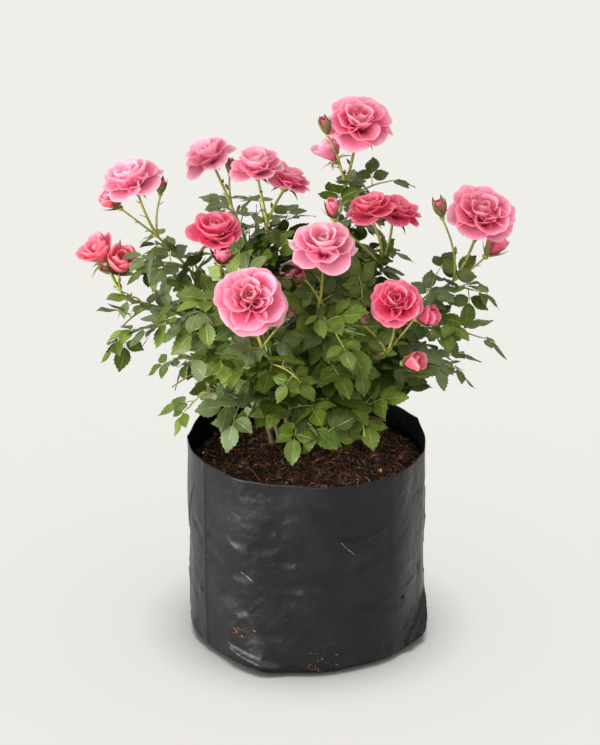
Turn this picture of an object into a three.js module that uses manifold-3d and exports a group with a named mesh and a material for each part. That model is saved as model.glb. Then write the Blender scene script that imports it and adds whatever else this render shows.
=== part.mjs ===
// A pink patio rose: a bushy rose of many canes in a black polythene grow bag.
// Millimetres, +Z up. The origin is the middle of the bag's flat underside, and the front looks along -Y.
// Every cane rises from the compost, ends where its foliage begins, and carries one mass of twigs, leaves and
// flowers. A mass keeps to the space that is nearer to its own cane than to any other.
import * as THREE from "three";
import { mergeVertices } from "three/addons/utils/BufferGeometryUtils.js";
import Module from "manifold-3d";

const wasm = await Module();
wasm.setup();

// The bag: a tube of film on a welded base, eight inches across when filled
const BAG_RADIUS = 98.5;
const BAG_HEIGHT = 165;
const FILM = 1.2; // thicker than the real 0.15 mm, so that it is a solid wall
const BASE_ROUND = 12; // how far the lower edge curves in
const BAG_SIDES = 28;
const FACETS = 9; // soft flats that the film falls into
const FACET_DEPTH = 1.1;
const TUCKS = 4; // folded corners of the base
const TUCK_BEARING = -0.35;
const TUCK_OUT = 7;
const TUCK_HEIGHT = 36;
const TUCK_WIDTH = 0.17;
const DRAIN_HEIGHT = 54;
const DRAIN_RADIUS = 1.8;
const DRAIN_BEARINGS = [8, 39, 100, 151]; // degrees, punched through both layers of the flat bag

// The compost
const COMPOST_EDGE = 153; // its level at the film
const GROUND = 157; // the flat middle, where the canes stand
const GROUND_RADIUS = 48;
const CLEAR = 0.3; // the gap between solids that meet
const LUMP = 3;
// How wide a sliver between fused solids is closed up: the first of these that leaves them sound
const SLIVERS = [0.2, 0.16, 0.12, 0.08, 0.05];

// The canes
const CROWN = [-5, 10]; // the middle of the clump
const CANE_FOOT = 2.3; // radius above the flare
const CANE_TIP = 1.5;
const FLARE = 1.45;
const CANE_SIDES = 6;
const CANE_STEPS = 3;
const RISE = 0.66; // how far up a cane has climbed when it starts to lean
const LEAN = 0.3;
const ENTER = 0.24; // the share of a shoot that is bare cane

// The foliage. A blade stands for a whole leaf of five leaflets.
const SEED = 5.3;
const STEM = 1.4; // radius of a shoot's stem where its leaves begin, on three sides
const STEM_STEPS = 4;
const STEM_NODE = 9; // from one leaf to the next along a stem
const TWIG_STEP = 26; // from one side twig to the next
const TWIG_NODE = 12; // from one leaf to the next along a side twig
const TWIG_LENGTH = 46;
const TWIG = 1.2;
const TRIES = 9; // how many directions a leaf or a twig is tried in
const TURN = 2.39996; // the golden angle, from one leaf to the next
const LEAF_LENGTH = 38;
const LEAF_BELLY = 0.55; // where a leaf is widest
const LEAF_WIDTH = 0.3; // half of its width there, as a share of its length
const LEAF_THICK = 0.9;
const FOLD = 0.08; // how far its sides stand above its rib, and its tip hangs below
const NECK = 0.12; // the share of a leaf that may run into its twig
const SUNK = 0.4; // how far its root is set beyond the middle of its twig
const SPACING = 17.5; // from the middle of a leaf to the middle of any other
const MARGIN = 0.8; // how far a leaf stays from the edge of its mass's space
const LIMB_CLEAR = 3.6;
const PETAL_CLEAR = 1.5;
const COMPOST_CLEAR = 5;
const RIM_CLEAR = 4;
const RIM_BAND = 8; // how far inside the film foliage already stays above the rim
const DROOP = [0.2, 0.3]; // how far a leaf hangs: the least, and the most beyond that
const TURN_ON = 1.7; // how much further round the next direction is tried
const STALK = 0.9; // radius of a flower's stalk

const UP = new THREE.Vector3(0, 0, 1);

// Each shoot rises from its foot, so far from the middle of the clump, and leans out to its truss, where the
// flower stalks part. A branch leaves it part of the way up and has a truss of its own. A flower has its
// middle, the way it looks, its width, how far it is open (0 a bud, 1 full blown), and its tone. A spray is a
// twig that stands out of the crown: where on its stem it starts, and where its tip is.
const SHOOTS = [
  {
    name: "left",
    foot: 23,
    truss: [-120, 12, 338],
    flowers: [
      { at: [-140, 0, 393], face: [-0.35, -0.15, 0.92], across: 52, open: 0.85, tone: "pale" },
      { at: [-153, 5, 368], face: [-0.5, -0.2, 0.55], across: 17, open: 0.15, tone: "coral" },
      { at: [-116, 10, 378], face: [0.05, -0.1, 1], across: 12, open: 0, tone: "shut" },
    ],
    sprays: [{ from: 0.8, tip: [-150, -10, 318] }],
    branches: [
      {
        from: 0.36,
        truss: [-145, -12, 293],
        flowers: [
          { at: [-164, -12, 331], face: [-0.5, -0.2, 0.8], across: 31, open: 0.45, tone: "coral" },
          { at: [-147, -22, 326], face: [0.15, -0.5, 0.85], across: 24, open: 0.25, tone: "coral" },
          { at: [-158, -8, 316], face: [-0.5, -0.2, 0.6], across: 11, open: 0, tone: "shut" },
        ],
        sprays: [
          { from: 0.55, tip: [-176, -18, 248] },
          { from: 0.25, tip: [-117, -44, 187] },
          { from: 0.9, tip: [-168, 4, 288] },
        ],
      },
    ],
  },
  {
    name: "upper_left",
    foot: 12,
    truss: [-61, 50, 350],
    flowers: [
      { at: [-82, 50, 397], face: [-0.45, -0.1, 0.88], across: 45, open: 0.85, tone: "pale" },
      { at: [-62, 56, 380], face: [0.1, 0.1, 1], across: 11, open: 0, tone: "shut" },
    ],
    sprays: [{ from: 0.86, tip: [-104, 40, 352] }],
    branches: [
      {
        from: 0.45,
        truss: [-32, 22, 347],
        flowers: [
          { at: [-40, 20, 398], face: [-0.05, -0.12, 0.98], across: 45, open: 0.8, tone: "pale" },
          { at: [-14, 38, 381], face: [0.35, 0.05, 0.93], across: 40, open: 0.85, tone: "rose" },
        ],
        sprays: [],
      },
    ],
  },
  {
    name: "upper_right",
    foot: 10,
    truss: [31, 35, 372],
    flowers: [
      { at: [42, 30, 431], face: [0.1, -0.45, 0.88], across: 54, open: 0.9, tone: "rose" },
      { at: [15, 25, 423], face: [-0.25, -0.1, 1], across: 13, open: 0.05, tone: "shut" },
      { at: [19, 37, 399], face: [-0.5, 0.1, 0.8], across: 26, open: 0.4, tone: "pale" },
    ],
    sprays: [
      { from: 0.95, tip: [91, 28, 377] },
      { from: 0.93, tip: [-8, 44, 372] },
    ],
    branches: [
      {
        from: 0.4,
        truss: [60, 0, 318],
        flowers: [
          { at: [49, -10, 372], face: [-0.15, -0.15, 0.97], across: 41, open: 0.8, tone: "deep" },
          { at: [73, 10, 363], face: [0.35, 0, 0.93], across: 41, open: 0.85, tone: "deep" },
          { at: [20, -20, 369], face: [-0.05, -0.1, 1], across: 15, open: 0.08, tone: "coral" },
        ],
        sprays: [{ from: 0.92, tip: [106, -12, 322] }],
      },
    ],
  },
  {
    name: "right",
    foot: 23,
    truss: [118, 2, 304],
    flowers: [
      { at: [139, -5, 366], face: [0.15, -0.5, 0.85], across: 57, open: 0.9, tone: "rose" },
      { at: [105, -10, 366], face: [-0.2, -0.1, 1], across: 14, open: 0.06, tone: "shut" },
      { at: [147, 2, 331], face: [0.5, 0.1, 0.65], across: 19, open: 0.2, tone: "coral" },
    ],
    sprays: [
      { from: 0.9, tip: [163, 2, 291] },
      { from: 0.62, tip: [170, 0, 249] },
    ],
    branches: [
      {
        from: 0.3,
        truss: [92, -30, 250],
        flowers: [{ at: [80, -72, 263], face: [0.75, -0.5, 0.35], across: 17, open: 0.2, tone: "coral" }],
        sprays: [
          { from: 0.9, tip: [143, -18, 225] },
          { from: 0.6, tip: [106, -62, 196] },
        ],
      },
    ],
  },
  {
    name: "front",
    foot: 18,
    truss: [10, -68, 312],
    flowers: [
      { at: [12, -82, 366], face: [0, -0.38, 0.92], across: 54, open: 0.85, tone: "pale" },
      { at: [-4, -80, 336], face: [-0.35, -0.6, 0.6], across: 12, open: 0, tone: "shut" },
    ],
    sprays: [{ from: 0.86, tip: [40, -84, 316] }],
    branches: [
      {
        from: 0.28,
        truss: [63, -75, 272],
        flowers: [
          { at: [68, -92, 322], face: [0.05, -0.62, 0.78], across: 43, open: 0.85, tone: "deep" },
          { at: [90, -80, 303], face: [0.7, -0.4, 0.3], across: 17, open: 0.2, tone: "deep" },
          { at: [44, -84, 301], face: [-0.2, -0.4, 0.9], across: 11, open: 0, tone: "shut" },
        ],
        sprays: [{ from: 0.7, tip: [101, -62, 221] }],
      },
      {
        from: 0.26,
        truss: [62, -54, 206],
        flowers: [],
        sprays: [{ from: 0.7, tip: [54, -82, 200] }],
      },
      {
        from: 0.26,
        truss: [-6, -66, 214],
        flowers: [],
        sprays: [
          { from: 0.7, tip: [-14, -88, 190] },
          { from: 0.8, tip: [28, -84, 204] },
        ],
      },
    ],
  },
  {
    name: "front_left",
    foot: 24,
    truss: [-35, -98, 285],
    flowers: [
      { at: [-43, -112, 333], face: [-0.02, -0.68, 0.73], across: 56, open: 1, tone: "rose" },
      { at: [-14, -92, 309], face: [0.4, -0.4, 0.7], across: 9, open: 0, tone: "shut" },
    ],
    sprays: [],
    branches: [
      {
        from: 0.3,
        truss: [-65, -38, 314],
        flowers: [
          { at: [-71, -45, 363], face: [0, -0.3, 0.95], across: 45, open: 0.6, tone: "deep" },
          { at: [-66, -54, 343], face: [0.15, -0.5, 0.8], across: 17, open: 0.12, tone: "coral" },
        ],
        sprays: [{ from: 0.85, tip: [-110, -30, 268] }],
      },
      {
        from: 0.26,
        truss: [-82, -36, 224],
        flowers: [],
        sprays: [{ from: 0.6, tip: [-66, -76, 198] }],
      },
    ],
  },
  {
    name: "back_left",
    foot: 26,
    truss: [-72, 80, 220],
    flowers: [
      { at: [-84, 98, 250], face: [-0.4, 0.65, 0.65], across: 48, open: 0.9, tone: "rose" },
      { at: [-56, 104, 244], face: [0.2, 0.6, 0.75], across: 14, open: 0.1, tone: "coral" },
    ],
    sprays: [{ from: 0.7, tip: [-140, 84, 252] }],
    branches: [
      {
        from: 0.28,
        truss: [-92, 50, 222],
        flowers: [],
        sprays: [
          { from: 0.8, tip: [-142, 48, 212] },
          { from: 0.5, tip: [-72, 98, 200] },
        ],
      },
    ],
  },
  {
    name: "back",
    foot: 21,
    truss: [-6, 98, 238],
    flowers: [
      { at: [-12, 122, 270], face: [-0.1, 0.75, 0.65], across: 52, open: 1, tone: "pale" },
      { at: [22, 112, 268], face: [0.4, 0.5, 0.8], across: 24, open: 0.4, tone: "rose" },
    ],
    sprays: [{ from: 0.6, tip: [-24, 142, 228] }],
    branches: [
      {
        from: 0.32,
        truss: [30, 96, 204],
        flowers: [{ at: [44, 120, 232], face: [0.3, 0.8, 0.5], across: 44, open: 0.8, tone: "rose" }],
        sprays: [{ from: 0.8, tip: [36, 142, 204] }],
      },
    ],
  },
  {
    name: "back_right",
    foot: 25,
    truss: [70, 80, 220],
    flowers: [
      { at: [78, 98, 250], face: [0.35, 0.7, 0.65], across: 46, open: 0.85, tone: "deep" },
      { at: [104, 92, 242], face: [0.5, 0.4, 0.75], across: 13, open: 0.05, tone: "shut" },
    ],
    sprays: [{ from: 0.75, tip: [138, 78, 252] }],
    branches: [
      {
        from: 0.28,
        truss: [96, 46, 230],
        flowers: [],
        sprays: [
          { from: 0.8, tip: [148, 46, 216] },
          { from: 0.5, tip: [82, 98, 204] },
        ],
      },
    ],
  },
];

const COLOURS = { film: "#2c2c2f", compost: "#3d271b", cane: "#66803c", foliage: "#44632f" };

function material(colour, roughness) {
  return new THREE.MeshStandardMaterial({ color: colour, roughness, metalness: 0 });
}

const finishes = {
  film: material(COLOURS.film, 0.42),
  compost: material(COLOURS.compost, 0.95),
  cane: material(COLOURS.cane, 0.6),
  foliage: material(COLOURS.foliage, 0.55),
};

function vector([x, y, z]) {
  return new THREE.Vector3(x, y, z);
}

// A number from 0 to 1 that depends only on the shoot, the node on it and what is being decided.
function chance(shoot, node, what) {
  const mixed = Math.sin(SEED + shoot * 12.9898 + node * 78.233 + what * 37.719) * 43758.5453;
  return mixed - Math.floor(mixed);
}

// A closed solid through rings of points, from first to last. A ring of one point is a tip, an end of three
// points is closed by one face, and a wider end gets its own middle point. Seen from the last ring, each ring
// runs anticlockwise.
function ringSolid(rings) {
  const middle = (ring) => ring.reduce((sum, p) => sum.add(p), new THREE.Vector3()).divideScalar(ring.length);
  const closed = [...rings];
  if (closed[0].length > 3) closed.unshift([middle(closed[0])]);
  if (closed.at(-1).length > 3) closed.push([middle(closed.at(-1))]);
  const points = closed.flat();
  const faces = [];
  if (closed[0].length === 3) faces.push(0, 2, 1);
  if (closed.at(-1).length === 3) faces.push(points.length - 3, points.length - 2, points.length - 1);
  let start = 0;
  for (let i = 0; i + 1 < closed.length; i++) {
    const low = closed[i].length;
    const high = closed[i + 1].length;
    const next = start + low;
    const n = Math.max(low, high);
    for (let k = 0; k < n; k++) {
      const j = (k + 1) % n;
      if (low > 1) faces.push(start + k, start + j, next + (high > 1 ? j : 0));
      if (high > 1) faces.push(start + (low > 1 ? k : 0), next + j, next + k);
    }
    start = next;
  }
  return { points, faces };
}

function geometryOf({ points, faces }) {
  const flat = new Float32Array(points.flatMap((p) => [p.x, p.y, p.z]));
  const geometry = new THREE.BufferGeometry();
  geometry.setAttribute("position", new THREE.BufferAttribute(flat, 3));
  geometry.setIndex(faces);
  return geometry;
}

function manifoldOf(solid) {
  const merged = mergeVertices(geometryOf(solid), 1e-4);
  const vertProperties = merged.attributes.position.array;
  const triVerts = new Uint32Array(merged.index.array);
  return new wasm.Manifold(new wasm.Mesh({ numProp: 3, vertProperties, triVerts }));
}

function geometryFrom(manifold) {
  const { vertProperties, triVerts } = manifold.getMesh();
  const geometry = new THREE.BufferGeometry();
  geometry.setAttribute("position", new THREE.BufferAttribute(vertProperties, 3));
  geometry.setIndex(new THREE.BufferAttribute(triVerts, 1));
  return geometry;
}

// Whether each edge of a body still joins two faces once its points are rounded to a thousandth.
function isSound(body) {
  const { vertProperties, triVerts } = body.getMesh();
  const place = (v) => Array.from(vertProperties.subarray(3 * v, 3 * v + 3), (x) => x.toFixed(3)).join();
  const uses = new Map();
  for (let i = 0; i < triVerts.length; i += 3) {
    const corners = [0, 1, 2].map((k) => place(triVerts[i + k]));
    if (new Set(corners).size < 3) continue;
    corners.forEach((from, k) => {
      const edge = [from, corners[(k + 1) % 3]].sort().join();
      uses.set(edge, (uses.get(edge) ?? 0) + 1);
    });
  }
  return [...uses.values()].every((count) => count === 2);
}

// Fuses solids and keeps the body that holds together, without loose scraps or sealed hollows. Slivers are
// closed up as far as that leaves the body sound.
function fuse(solids) {
  const whole = wasm.Manifold.union(solids.map(manifoldOf)).asOriginal();
  for (const sliver of SLIVERS) {
    const bodies = whole.simplify(sliver).decompose();
    const body = bodies.reduce((best, next) => (next.volume() > best.volume() ? next : best));
    if (isSound(body)) return body;
  }
  throw new Error("a mass of foliage doesn't fuse soundly");
}

function node(name, geometry, finish) {
  const mesh = new THREE.Mesh(geometry, finish);
  mesh.name = name;
  return mesh;
}

// Two directions square to an axis, the first as level as it can be.
function across(axis) {
  const level = Math.abs(axis.z) > 0.95 ? new THREE.Vector3(1, 0, 0) : UP.clone().cross(axis).normalize();
  const other = axis.clone().cross(level).normalize();
  return [other.clone().cross(axis).normalize(), other];
}

function ringAround(centre, axis, radius, sides, lobe = () => 1) {
  const [a, b] = across(axis);
  return Array.from({ length: sides }, (_, k) => {
    const turn = (2 * Math.PI * k) / sides;
    const r = radius * lobe(turn);
    return centre.clone().addScaledVector(a, r * Math.cos(turn)).addScaledVector(b, r * Math.sin(turn));
  });
}

// A tapering limb along points. Its rings keep one sideways direction, so that it doesn't twist.
function limb(points, radii, sides, foot = null) {
  const rings = points.map((p, i) => {
    const before = points[Math.max(0, i - 1)];
    const after = points[Math.min(points.length - 1, i + 1)];
    const axis = i === 0 && foot ? foot : after.clone().sub(before).normalize();
    return { p, axis };
  });
  let side = across(rings[0].axis)[0];
  return ringSolid(
    rings.map(({ p, axis }, i) => {
      const b = axis.clone().cross(side).normalize();
      side = b.clone().cross(axis).normalize();
      return Array.from({ length: sides }, (_, k) => {
        const turn = (2 * Math.PI * k) / sides;
        return p
          .clone()
          .addScaledVector(side, radii[i] * Math.cos(turn))
          .addScaledVector(b, radii[i] * Math.sin(turn));
      });
    }),
  );
}

// The bag's outer radius at a bearing and a height.
function wallRadius(bearing, height) {
  const up = Math.min(1, height / BASE_ROUND);
  const inset = BASE_ROUND * (1 - Math.sqrt(1 - (1 - up) ** 2));
  const low = Math.max(0, 1 - height / TUCK_HEIGHT);
  const quarter = (2 * Math.PI) / TUCKS;
  const off = bearing - TUCK_BEARING;
  const away = off - quarter * Math.round(off / quarter);
  const tuck = TUCK_OUT * low * Math.exp(-((away / TUCK_WIDTH) ** 2));
  return BAG_RADIUS + FACET_DEPTH * Math.cos(FACETS * bearing + 0.4) - inset + tuck;
}

function bagRing(height, inset, level = height) {
  return Array.from({ length: BAG_SIDES }, (_, k) => {
    const bearing = (2 * Math.PI * k) / BAG_SIDES;
    const r = wallRadius(bearing, height) - inset;
    return new THREE.Vector3(r * Math.cos(bearing), r * Math.sin(bearing), level);
  });
}

const WALL_HEIGHTS = [0, 3, BASE_ROUND, TUCK_HEIGHT, COMPOST_EDGE, BAG_HEIGHT];

function bag() {
  const outside = WALL_HEIGHTS.map((h) => bagRing(h, 0));
  const inside = WALL_HEIGHTS.slice(1).map((h) => bagRing(h, FILM));
  const filled = manifoldOf(ringSolid(outside));
  const room = manifoldOf(ringSolid([...inside, bagRing(BAG_HEIGHT, FILM, BAG_HEIGHT + 1)]));
  const punches = DRAIN_BEARINGS.flatMap((d) => [d, -d]).map((degrees) => {
    const bearing = THREE.MathUtils.degToRad(degrees);
    const out = new THREE.Vector3(Math.cos(bearing), Math.sin(bearing), 0);
    const middle = out.clone().multiplyScalar(wallRadius(bearing, DRAIN_HEIGHT)).setZ(DRAIN_HEIGHT);
    const ends = [-3 * FILM, 3 * FILM].map((d) => middle.clone().addScaledVector(out, d));
    return manifoldOf(limb(ends, [DRAIN_RADIUS, DRAIN_RADIUS], CANE_SIDES));
  });
  return geometryFrom(filled.subtract(wasm.Manifold.union([room, ...punches])));
}

// The compost's surface: flat round the canes, and lumpy from there to the film.
function compostLevel(x, y) {
  const r = Math.hypot(x, y);
  const out = THREE.MathUtils.clamp((r - GROUND_RADIUS) / (BAG_RADIUS - GROUND_RADIUS), 0, 1);
  const lumps = LUMP * Math.sin(x / 11 + 2) * Math.cos(y / 13 + x / 29);
  return GROUND + (COMPOST_EDGE - GROUND) * out + lumps * Math.sin(Math.PI * Math.min(1, out * 1.15));
}

function compost() {
  const inset = FILM + CLEAR;
  const sides = WALL_HEIGHTS.slice(1, -1).map((h, i) => bagRing(h, inset, i === 0 ? h + CLEAR : h));
  const rim = sides.at(-1);
  const shares = [0.83, 0.66, GROUND_RADIUS / BAG_RADIUS];
  const top = shares.map((share) =>
    rim.map((p) => new THREE.Vector3(p.x * share, p.y * share, compostLevel(p.x * share, p.y * share))),
  );
  const flat = top.at(-1).map((p) => p.clone().setZ(GROUND));
  return geometryOf(ringSolid([...sides, ...top.slice(0, -1), flat]));
}

// A line that climbs steeply from its start and then leans out to its truss.
function arch(start, truss) {
  const bend = start.clone().lerp(truss, LEAN).setZ(start.z + (truss.z - start.z) * RISE);
  return new THREE.QuadraticBezierCurve3(start, bend, truss);
}

// The lines of a shoot and its branches, each with the share of it that is bare cane and what grows on it.
function stemsOf(shoot) {
  const crown = new THREE.Vector3(CROWN[0], CROWN[1], GROUND + CLEAR);
  const truss = vector(shoot.truss);
  const outward = truss.clone().sub(crown).setZ(0).normalize();
  const line = arch(crown.clone().addScaledVector(outward, shoot.foot), truss);
  const branches = shoot.branches.map((row) => {
    return { line: arch(line.getPoint(row.from), vector(row.truss)), bare: 0, ...row };
  });
  return [{ line, bare: ENTER, ...shoot }, ...branches];
}

const stems = SHOOTS.map(stemsOf);

// What a shoot's space is measured from: the pieces of its lines and flower stalks, and its flowers as balls.
const LINE_PIECES = 8;

function piecesOf({ line, flowers }) {
  const track = line.getPoints(LINE_PIECES);
  const ends = flowers.map(({ at }) => [track.at(-1), vector(at)]);
  const pairs = [...track.slice(1).map((end, i) => [track[i], end]), ...ends];
  return pairs.map(([start, end]) => ({ start, span: end.clone().sub(start) }));
}

const skeletons = stems.map((own) => ({
  bare: piecesOf(own[0]).slice(0, Math.ceil(ENTER * LINE_PIECES)),
  pieces: own.flatMap(piecesOf),
  flowers: own.flatMap(({ flowers }) => flowers.map((f) => ({ middle: vector(f.at), radius: f.across / 2 }))),
}));

function cane(index) {
  const shares = Array.from({ length: CANE_STEPS + 1 }, (_, i) => (ENTER * i) / CANE_STEPS);
  const points = shares.map((t) => stems[index][0].line.getPoint(t));
  const radii = shares.map((t) => CANE_FOOT + ((CANE_TIP - CANE_FOOT) * t) / ENTER);
  const flared = points[0].clone().lerp(points[1], 0.35);
  return limb([points[0], flared, ...points.slice(1)], [CANE_FOOT * FLARE, ...radii], CANE_SIDES, UP);
}

const offset = new THREE.Vector3();

function distanceToPiece(p, { start, span }) {
  offset.subVectors(p, start);
  const along = THREE.MathUtils.clamp(offset.dot(span) / span.lengthSq(), 0, 1);
  return offset.addScaledVector(span, -along).length();
}

function distanceTo(p, { pieces, flowers }) {
  const toPieces = pieces.map((piece) => distanceToPiece(p, piece));
  const toFlowers = flowers.map(({ middle, radius }) => p.distanceTo(middle) - radius);
  return Math.min(...toPieces, ...toFlowers);
}

// Whether a point lies in a mass's own space: nearer to its own lines and flowers than to any other shoot's,
// clear of its bare cane and its petals, and above the compost and the bag's rim.
function inSpace(p, index) {
  const overCompost = Math.hypot(p.x, p.y) < BAG_RADIUS - RIM_BAND;
  const floor = overCompost ? GROUND + COMPOST_CLEAR : BAG_HEIGHT + RIM_CLEAR;
  if (p.z < floor) return false;
  const { bare, flowers } = skeletons[index];
  if (bare.some((piece) => distanceToPiece(p, piece) < LIMB_CLEAR)) return false;
  if (flowers.some(({ middle, radius }) => p.distanceTo(middle) < radius + PETAL_CLEAR)) return false;
  const own = distanceTo(p, skeletons[index]) + 2 * MARGIN;
  return skeletons.every((skeleton, other) => other === index || distanceTo(p, skeleton) > own);
}

// Where a leaf or a twig points: out from the stem at an angle, turned round it.
function wayOut(axis, turn, lift) {
  const [a, b] = across(axis);
  return axis
    .clone()
    .multiplyScalar(Math.cos(lift))
    .addScaledVector(a, Math.sin(lift) * Math.cos(turn))
    .addScaledVector(b, Math.sin(lift) * Math.sin(turn))
    .normalize();
}

// A leaf of eight faces: its root, its tip, its two sides, and its rib's top and bottom. It faces up and out
// of the bush, as far as the way it points lets it.
function blade({ start, way, length, lean }) {
  const outward = start.clone().sub(vector([...CROWN, start.z])).normalize();
  const facing = UP.clone().addScaledVector(outward, 0.6 + lean);
  const normal = facing.addScaledVector(way, -facing.dot(way)).normalize();
  const side = normal.clone().cross(way).normalize();
  const belly = start.clone().addScaledVector(way, length * LEAF_BELLY);
  const ring = [
    belly.clone().addScaledVector(side, length * LEAF_WIDTH).addScaledVector(normal, length * FOLD),
    belly.clone().addScaledVector(normal, LEAF_THICK / 2),
    belly.clone().addScaledVector(side, -length * LEAF_WIDTH).addScaledVector(normal, length * FOLD),
    belly.clone().addScaledVector(normal, -LEAF_THICK / 2),
  ];
  const tip = start.clone().addScaledVector(way, length).addScaledVector(normal, -length * FOLD);
  return { root: start.clone().addScaledVector(way, -SUNK), ring, tip };
}

// A blade as lines and faces, without the first bit that runs into its twig.
function outlineOf({ root, ring: [left, , right], tip }) {
  const neck = root.clone().lerp(tip, NECK);
  return {
    edges: [[neck, left], [left, tip], [tip, right], [right, neck], [neck, tip]],
    faces: [[neck, left, right], [tip, right, left]],
  };
}

const ray = new THREE.Ray();
const hit = new THREE.Vector3();

function passesThrough([from, to], [a, b, c]) {
  ray.set(from, hit.subVectors(to, from).normalize());
  return ray.intersectTriangle(a, b, c, false, hit) !== null && hit.distanceTo(from) < from.distanceTo(to);
}

function cuts(lines, faces) {
  return lines.some((line) => faces.some((face) => passesThrough(line, face)));
}

// A leaf is kept if it lies in its mass's space, and neither crowds nor crosses what is there.
function addLeaf(mass, leaf) {
  const { root, ring, tip } = blade(leaf);
  const middle = ring[1];
  if (![...ring, tip].every((p) => inSpace(p, mass.index))) return false;
  if (mass.middles.some((there) => there.distanceTo(middle) < SPACING)) return false;
  const { edges, faces } = outlineOf({ root, ring, tip });
  if (cuts(mass.limbs, faces)) return false;
  if (mass.blades.some((other) => cuts(edges, other.faces) || cuts(other.edges, faces))) return false;
  mass.middles.push(middle);
  mass.blades.push({ edges, faces });
  mass.solids.push(ringSolid([[root], ring, [tip]]));
  return true;
}

// The straight pieces along a limb's points.
function piecesAlong(points) {
  return points.slice(1).map((end, i) => [points[i], end]);
}

// Leaves along a stem or a twig, each turned by the golden angle from the one before it. Where one doesn't
// fit it is tried further round, and then smaller.
function addLeaves(mass, curve, from, step, salt) {
  const nodes = Math.round((curve.getLength() * (1 - from)) / step);
  for (let k = 1; k <= nodes; k++) {
    const t = from + ((1 - from) * (k - 0.4)) / nodes;
    const luck = (what) => chance(mass.index, salt + k, what);
    const start = curve.getPoint(t);
    const axis = curve.getTangent(t);
    for (let turns = 0; turns < TRIES; turns++) {
      const lift = 0.5 + 0.8 * luck(2 + turns);
      const way = wayOut(axis, k * TURN + salt + turns * TURN_ON + luck(1), lift);
      way.z -= DROOP[0] + DROOP[1] * luck(30);
      const length = LEAF_LENGTH * (0.85 + 0.25 * luck(31)) * (1 - (0.35 * turns) / TRIES);
      if (addLeaf(mass, { start, way: way.normalize(), length, lean: 0.4 * luck(32) })) break;
    }
  }
}

// A side twig, with a leaf at its end and more along it. It is skipped if it would leave its mass's space.
function addTwig(mass, curve, salt) {
  const points = [0, 0.6, 1].map((t) => curve.getPoint(t));
  if (!points.slice(1).every((p) => inSpace(p, mass.index))) return false;
  const pieces = piecesAlong(points);
  if (mass.blades.some(({ faces }) => cuts(pieces, faces))) return false;
  const way = curve.getTangent(1);
  const start = points.at(-1).clone().addScaledVector(way, -1.2);
  if (!addLeaf(mass, { start, way, length: LEAF_LENGTH * 0.9, lean: 0.2 })) return false;
  mass.limbs.push(...pieces);
  mass.solids.push(limb(points, [TWIG, TWIG * 0.9, TWIG * 0.75], 3));
  addLeaves(mass, curve, 0.25, TWIG_NODE, salt);
  return true;
}

// Side twigs along a stem, as long as its mass's space lets them be.
function addTwigs(mass, { line, bare }, salt) {
  const nodes = Math.round((line.getLength() * (1 - bare)) / TWIG_STEP);
  for (let k = 1; k <= nodes; k++) {
    const luck = (what) => chance(mass.index, salt + k, what);
    const t = bare + ((1 - bare) * (k - 0.7)) / nodes;
    const at = line.getPoint(t);
    const axis = line.getTangent(t);
    for (let turns = 0; turns < TRIES; turns++) {
      const way = wayOut(axis, k * TURN + 2 + turns * TURN_ON + luck(40), 0.9 + 0.3 * luck(41));
      const length = TWIG_LENGTH * (0.7 + 0.6 * luck(42)) * (1 - (0.6 * turns) / TRIES);
      const bend = at.clone().addScaledVector(way, length * 0.55).addScaledVector(UP, length * 0.1);
      const tip = at.clone().addScaledVector(way, length);
      if (addTwig(mass, new THREE.QuadraticBezierCurve3(at, bend, tip), salt + 50 * k)) break;
    }
  }
}

// A long twig that stands out of the crown. It arches over, and its end leaf reaches the named tip.
function addSpray(mass, line, { from, tip }, salt) {
  const start = line.getPoint(from);
  const reach = vector(tip).sub(start);
  const way = reach.clone().normalize();
  const end = vector(tip).addScaledVector(way, -LEAF_LENGTH * 0.8).addScaledVector(UP, 3);
  const bend = start.clone().lerp(end, 0.55).addScaledVector(UP, reach.length() * 0.1);
  addTwig(mass, new THREE.QuadraticBezierCurve3(start, bend, end), salt);
}

// A flower's outline from its foot to its heart, as shares of its radius: out, up, and how deep the petals of
// that row are cut. Rows of petals overlap, each turned half a petal from the one outside it.
const PETALS = 5;
const FLOWER_ROWS = [
  { out: 0.6, up: -0.36, cut: 0, turned: 0 },
  { out: 0.96, up: -0.05, cut: 0.09, turned: 0 },
  { out: 0.68, up: 0.05, cut: 0, turned: 0 },
  { out: 0.74, up: 0.26, cut: 0.09, turned: 1 },
  { out: 0.42, up: 0.16, cut: 0, turned: 1 },
  { out: 0.42, up: 0.4, cut: 0.1, turned: 0 },
];
const BUD_ROWS = [
  { out: 0.45, up: -0.6, cut: 0, turned: 0 },
  { out: 1, up: 0.1, cut: 0, turned: 0 },
  { out: 0.62, up: 1.1, cut: 0, turned: 0 },
];

function flower({ at, face, across: width, open }) {
  const axis = vector(face).normalize();
  const bud = open < 0.3;
  const radius = width / 2;
  const rise = bud ? 1 : 1.7 - 0.8 * open;
  const rows = bud ? BUD_ROWS : FLOWER_ROWS;
  const centre = vector(at);
  const along = (share) => centre.clone().addScaledVector(axis, radius * share);
  const rings = rows.map(({ out, up, cut, turned }) => {
    const lobe = (turn) => 1 + cut * Math.cos(PETALS * turn + turned * Math.PI);
    return ringAround(along(up * rise), axis, radius * out, bud ? 6 : 2 * PETALS, lobe);
  });
  const foot = along(bud ? -1.15 : -0.78);
  return { solid: ringSolid([[foot], ...rings, [along(bud ? 2 - 0.6 * open : 0.22 * rise)]]), foot, axis };
}

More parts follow.
